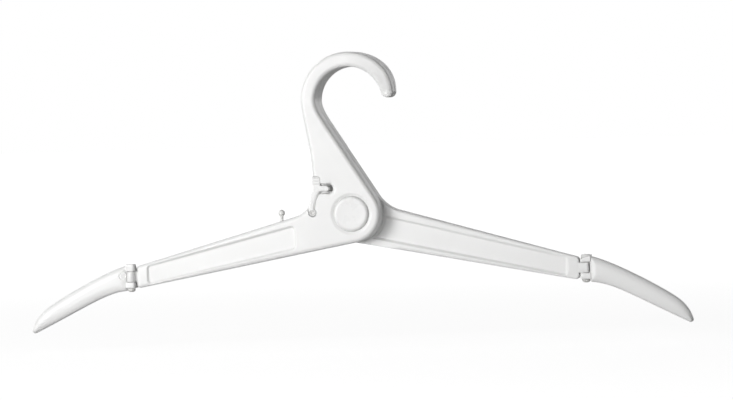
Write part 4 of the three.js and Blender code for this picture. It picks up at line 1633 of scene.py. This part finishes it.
def moulded_surface() -> bpy.types.NodeTree:
    """Node group for moulded plastic: colour, roughness and height from the place on the object.

    Returns:
        The group, with Place, Colour, Deep, Roughness and Grain going in.
    """
    group = bpy.data.node_groups.new("moulded surface", "ShaderNodeTree")
    for way, name, kind in (
        ("INPUT", "Place", Socket.VECTOR),
        ("INPUT", "Colour", Socket.COLOUR),
        ("INPUT", "Deep", Socket.COLOUR),
        ("INPUT", "Roughness", Socket.NUMBER),
        ("INPUT", "Grain", Socket.NUMBER),
        ("OUTPUT", "Colour", Socket.COLOUR),
        ("OUTPUT", "Roughness", Socket.NUMBER),
        ("OUTPUT", "Height", Socket.NUMBER),
    ):
        group.interface.new_socket(name, in_out=way, socket_type=kind.value)
    source = add_node(group, "NodeGroupInput")
    sink = add_node(group, "NodeGroupOutput")

    def noise(scale: float, detail: float) -> bpy.types.Node:
        """A noise texture at a scale a metre."""
        node = add_node(group, "ShaderNodeTexNoise", Scale=scale, Detail=detail)
        wire(group, (source, "Place", node, "Vector"))
        return node

    def spread(node: bpy.types.Node, low: float, high: float) -> bpy.types.Node:
        """A node's factor spread from low to high."""
        ramp = add_node(
            group, "ShaderNodeMapRange", From_Min=0.35, From_Max=0.65, To_Min=low, To_Max=high,
        )
        wire(group, (node, "Fac", ramp, "Value"))
        return ramp

    cloud = spread(noise(22.0, 3.0), 0.0, 0.35)
    smear = spread(noise(140.0, 4.0), -0.05, 0.06)
    grain = noise(2600.0, 2.0)
    swell = noise(160.0, 1.0)
    mix = add_node(group, "ShaderNodeMix", data_type="RGBA")
    total = add_node(group, "ShaderNodeMath", operation="ADD")
    scaled = add_node(group, "ShaderNodeMath", operation="MULTIPLY")
    height = add_node(group, "ShaderNodeMath", operation="ADD")
    wire(
        group,
        (cloud, "Result", mix, "Factor"),
        (source, "Colour", mix, 6),
        (source, "Deep", mix, 7),
        (mix, 2, sink, "Colour"),
        (source, "Roughness", total, 0),
        (smear, "Result", total, 1),
        (total, 0, sink, "Roughness"),
        (grain, "Fac", scaled, 0),
        (source, "Grain", scaled, 1),
        (scaled, 0, height, 0),
        (swell, "Fac", height, 1),
        (height, 0, sink, "Height"),
    )
    return group


@dataclass(frozen=True)
class Finish:
    """A moulded finish: its colours, its gloss and how coarse its skin is."""

    name: str
    colour: tuple[float, float, float]
    deep: tuple[float, float, float]
    roughness: float = 0.36
    grain: float = 0.5
    bump: float = 0.12
    metal: float = 0.0
    coat: float = 0.0
    scatter: float = 0.0

    def material(self, group: bpy.types.NodeTree) -> bpy.types.Material:
        """Makes the material round the moulded-surface group.

        Args:
            group: the node group.

        Returns:
            The material.
        """
        material = bpy.data.materials.new(self.name)
        material.use_nodes = True
        tree = material.node_tree
        shader = tree.nodes["Principled BSDF"]
        for name, value in (
            ("Metallic", self.metal),
            ("Coat Weight", self.coat),
            ("Subsurface Weight", self.scatter),
            ("Subsurface Scale", 0.002),
            ("Subsurface Radius", (1.0, 1.0, 1.0)),
        ):
            shader.inputs[name].default_value = value
        place = add_node(tree, "ShaderNodeTexCoord")
        skin = add_node(
            tree,
            "ShaderNodeGroup",
            node_tree=group,
            Colour=(*self.colour, 1.0),
            Deep=(*self.deep, 1.0),
            Roughness=self.roughness,
            Grain=self.grain,
        )
        bump = add_node(tree, "ShaderNodeBump", Strength=self.bump, Distance=0.0004)
        wire(
            tree,
            (place, "Object", skin, "Place"),
            (skin, "Height", bump, "Height"),
            (skin, "Colour", shader, "Base Color"),
            (skin, "Roughness", shader, "Roughness"),
            (bump, "Normal", shader, "Normal"),
        )
        return material


WHITE = Finish("moulded white plastic", (0.9, 0.9, 0.893), (0.87, 0.87, 0.862), coat=0.08)
CAP_WHITE = Finish("cap plastic", (0.87, 0.87, 0.865), (0.85, 0.85, 0.842), 0.3, coat=0.1)
# The knob's grey is partly its own translucent plastic and partly painted shade: its colour is set below
# the body's white to stand for the shadow that the knob sits in.
KNOB = Finish("knob plastic", (0.82, 0.82, 0.8), (0.74, 0.74, 0.725), 0.42, scatter=0.7)
NYLON = Finish("natural nylon", (0.8, 0.797, 0.775), (0.72, 0.715, 0.69), 0.48, scatter=0.3)
ZINC = Finish("zinc-plated steel", (0.56, 0.57, 0.59), (0.42, 0.43, 0.46), 0.32, 1.2, 0.2, metal=1.0)
FINISHES = {
    "white_plastic": WHITE,
    "cap_plastic": CAP_WHITE,
    "knob_plastic": KNOB,
    "nylon": NYLON,
    "steel": ZINC,
}


# Stage, lamps and camera


@dataclass(frozen=True)
class Lamp:
    """A round lamp: its place and width in metres, and its power in watts."""

    name: str
    place: tuple[float, float, float]
    power: float
    size: float


@dataclass(frozen=True)
class Studio:
    """The floor, the lamps, the white surroundings and the camera. Lengths are in metres."""

    floor_z: float = -0.183
    floor_reach: float = 14.0
    floor_tone: float = 0.86
    floor_roughness: float = 0.8
    azimuth: float = 12.0
    elevation: float = 1.35
    distance: float = 2.5
    target: tuple[float, float, float] = (0.00842, 0.0, -0.08746)
    roll: float = 0.028
    lens: float = 187.8
    sensor: float = 36.0
    world: float = 0.1
    glow_from: float = 0.3
    glow_to: float = 2.2
    glow_near: float = 1.43
    glow_far: float = 1.75
    glow_share: float = 0.6
    lamps: tuple[Lamp, ...] = (
        Lamp("key", (-1.1, -1.6, 0.2), 24.0, 1.0),
        Lamp("low", (-0.3, -1.2, -0.17), 6.0, 0.8),
        Lamp("rim", (1.1, 1.5, 0.25), 3.2, 1.0),
    )

    def floor(self) -> bpy.types.Object:
        """A wide pale floor; the camera sees it near white, and the hanger's shadow stays on it."""
        mesh = bpy.data.meshes.new("floor")
        reach = self.floor_reach
        spots = [(-reach, -reach), (reach, -reach), (reach, reach), (-reach, reach)]
        mesh.from_pydata([(x, y, self.floor_z) for x, y in spots], [], [(0, 1, 2, 3)])
        floor = bpy.data.objects.new("floor", mesh)
        bpy.context.scene.collection.objects.link(floor)
        material = bpy.data.materials.new("floor")
        material.use_nodes = True
        tree = material.node_tree
        shader = tree.nodes["Principled BSDF"]
        shader.inputs["Base Color"].default_value = (*[self.floor_tone] * 3, 1.0)
        shader.inputs["Roughness"].default_value = self.floor_roughness
        glow = add_node(tree, "ShaderNodeEmission")
        place = add_node(tree, "ShaderNodeTexCoord")
        length = add_node(tree, "ShaderNodeVectorMath", operation="LENGTH")
        fade = add_node(
            tree,
            "ShaderNodeMapRange",
            interpolation_type="SMOOTHSTEP",
            From_Min=self.glow_from,
            From_Max=self.glow_to,
            To_Min=self.glow_near,
            To_Max=self.glow_far,
        )
        path = add_node(tree, "ShaderNodeLightPath")
        mix = add_node(tree, "ShaderNodeMixShader")
        share = add_node(tree, "ShaderNodeMath", operation="MULTIPLY")
        share.inputs[1].default_value = self.glow_share
        wire(
            tree,
            (place, "Object", length, 0),
            (length, "Value", fade, "Value"),
            (fade, "Result", glow, "Strength"),
            (path, "Is Camera Ray", share, 0),
            (share, 0, mix, 0),
            (shader, 0, mix, 1),
            (glow, 0, mix, 2),
            (mix, 0, tree.nodes["Material Output"], "Surface"),
        )
        mesh.materials.append(material)
        return floor

    def surroundings(self) -> None:
        """White where the camera or a reflection looks past the hanger, an even soft light elsewhere."""
        world = bpy.data.worlds.new("surroundings")
        bpy.context.scene.world = world
        world.use_nodes = True
        tree = world.node_tree
        soft = tree.nodes["Background"]
        white = add_node(tree, "ShaderNodeBackground")
        for node, strength in ((soft, self.world), (white, 1.0)):
            node.inputs["Color"].default_value = (1.0, 1.0, 1.0, 1.0)
            node.inputs["Strength"].default_value = strength
        path = add_node(tree, "ShaderNodeLightPath")
        either = add_node(tree, "ShaderNodeMath", operation="MAXIMUM")
        both = add_node(tree, "ShaderNodeMath", operation="MAXIMUM")
        mix = add_node(tree, "ShaderNodeMixShader")
        wire(
            tree,
            (path, "Is Camera Ray", either, 0),
            (path, "Is Glossy Ray", either, 1),
            (either, 0, both, 0),
            (path, "Is Transmission Ray", both, 1),
            (both, 0, mix, 0),
            (soft, 0, mix, 1),
            (white, 0, mix, 2),
            (mix, 0, tree.nodes["World Output"], "Surface"),
        )

    def hang(self, lamp: Lamp) -> None:
        """Hangs up a lamp that looks at the hanger's middle."""
        data = bpy.data.lights.new(lamp.name, "AREA")
        data.shape = "DISK"
        data.energy = lamp.power
        data.size = lamp.size
        thing = bpy.data.objects.new(lamp.name, data)
        bpy.context.scene.collection.objects.link(thing)
        thing.location = lamp.place
        look = Vector(self.target) - Vector(lamp.place)
        thing.rotation_euler = look.to_track_quat("-Z", "Y").to_euler()

    def camera(self) -> None:
        """The camera at the photograph's angle, with its slight roll."""
        data = bpy.data.cameras.new("camera")
        data.lens = self.lens
        data.sensor_width = self.sensor
        camera = bpy.data.objects.new("camera", data)
        bpy.context.scene.collection.objects.link(camera)
        turn = math.radians(self.azimuth)
        rise = math.radians(self.elevation)
        level = math.cos(rise)
        back = Vector((math.sin(turn) * level, -math.cos(turn) * level, math.sin(rise)))
        right = Vector((0.0, 0.0, 1.0)).cross(back).normalized()
        up = back.cross(right)
        cos = math.cos(self.roll)
        sin = math.sin(self.roll)
        camera.location = Vector(self.target) + back * self.distance
        axes = Matrix((right * cos - up * sin, right * sin + up * cos, back)).transposed()
        camera.rotation_euler = axes.to_euler()
        bpy.context.scene.camera = camera

    def build(self) -> None:
        """Sets up the whole studio."""
        self.floor()
        self.surroundings()
        self.camera()
        for lamp in self.lamps:
            self.hang(lamp)
        bpy.context.scene.view_settings.view_transform = "Standard"


# The hanger


class Hanger:
    """The whole hanger: every piece with its body, its slot and its finish."""

    def __init__(self) -> None:
        """Makes each slot's material."""
        group = moulded_surface()
        self.finishes = {slot: finish.material(group) for slot, finish in FINISHES.items()}

    def fit(self, piece: bpy.types.Object, body: str, slot: str, node: str) -> None:
        """Dresses a piece and says what it rides on, which slot it has and which node it stands for."""
        piece.data.materials.clear()
        piece.data.materials.append(self.finishes[slot])
        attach(piece, body)
        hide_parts(node)
        log.info("%s: %d faces on %s", piece.name, len(piece.data.polygons), body)

    def dress(self, node: str, slot: str) -> None:
        """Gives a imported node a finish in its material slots."""
        thing = frame["nodes"][node]
        if not thing.material_slots:
            thing.data.materials.append(None)
        for place in thing.material_slots:
            place.material = self.finishes[slot]
        log.info("%s: finished", node)

    def build(self) -> None:
        """Builds the pieces in order."""
        front = front_half().build()
        combine(front, [knob_gate()], Join.CUT)
        self.fit(front, "front_frame", "white_plastic", "front_half")
        self.fit(rear_half().build(), "rear_frame", "white_plastic", "rear_half")
        self.fit(PivotCap(Side.FRONT).build(), "front_frame", "cap_plastic", "front_pivot_cap")
        self.fit(PivotCap(Side.REAR).build(), "rear_frame", "cap_plastic", "rear_pivot_cap")
        self.fit(LatchLever().build(), "latch", "white_plastic", "latch_lever")
        self.fit(release_knob(), "latch", "knob_plastic", "release_knob")
        self.fit(latch_pin(), "front_frame", "nylon", "latch_pin")
        for side, word in ((Side.FRONT, "left"), (Side.REAR, "right")):
            body = f"{word}_shoulder"
            wing = ShoulderWing(side, f"{word}_wing_moulding").build()
            self.fit(wing, body, "white_plastic", f"{word}_wing")
            self.fit(hinge_pin(side, f"{word}_pin"), body, "nylon", f"{word}_hinge_pin")
        for node, slot in (
            ("pivot_post", "nylon"),
            ("friction_washer", "nylon"),
            ("pivot_screw", "steel"),
            ("latch_spring", "steel"),
        ):
            self.dress(node, slot)


def main() -> None:
    """Builds the studio and the hanger."""
    logging.basicConfig(level=logging.INFO, format="%(message)s")
    Studio().build()
    Hanger().build()


if __name__ == "__main__":
    main()
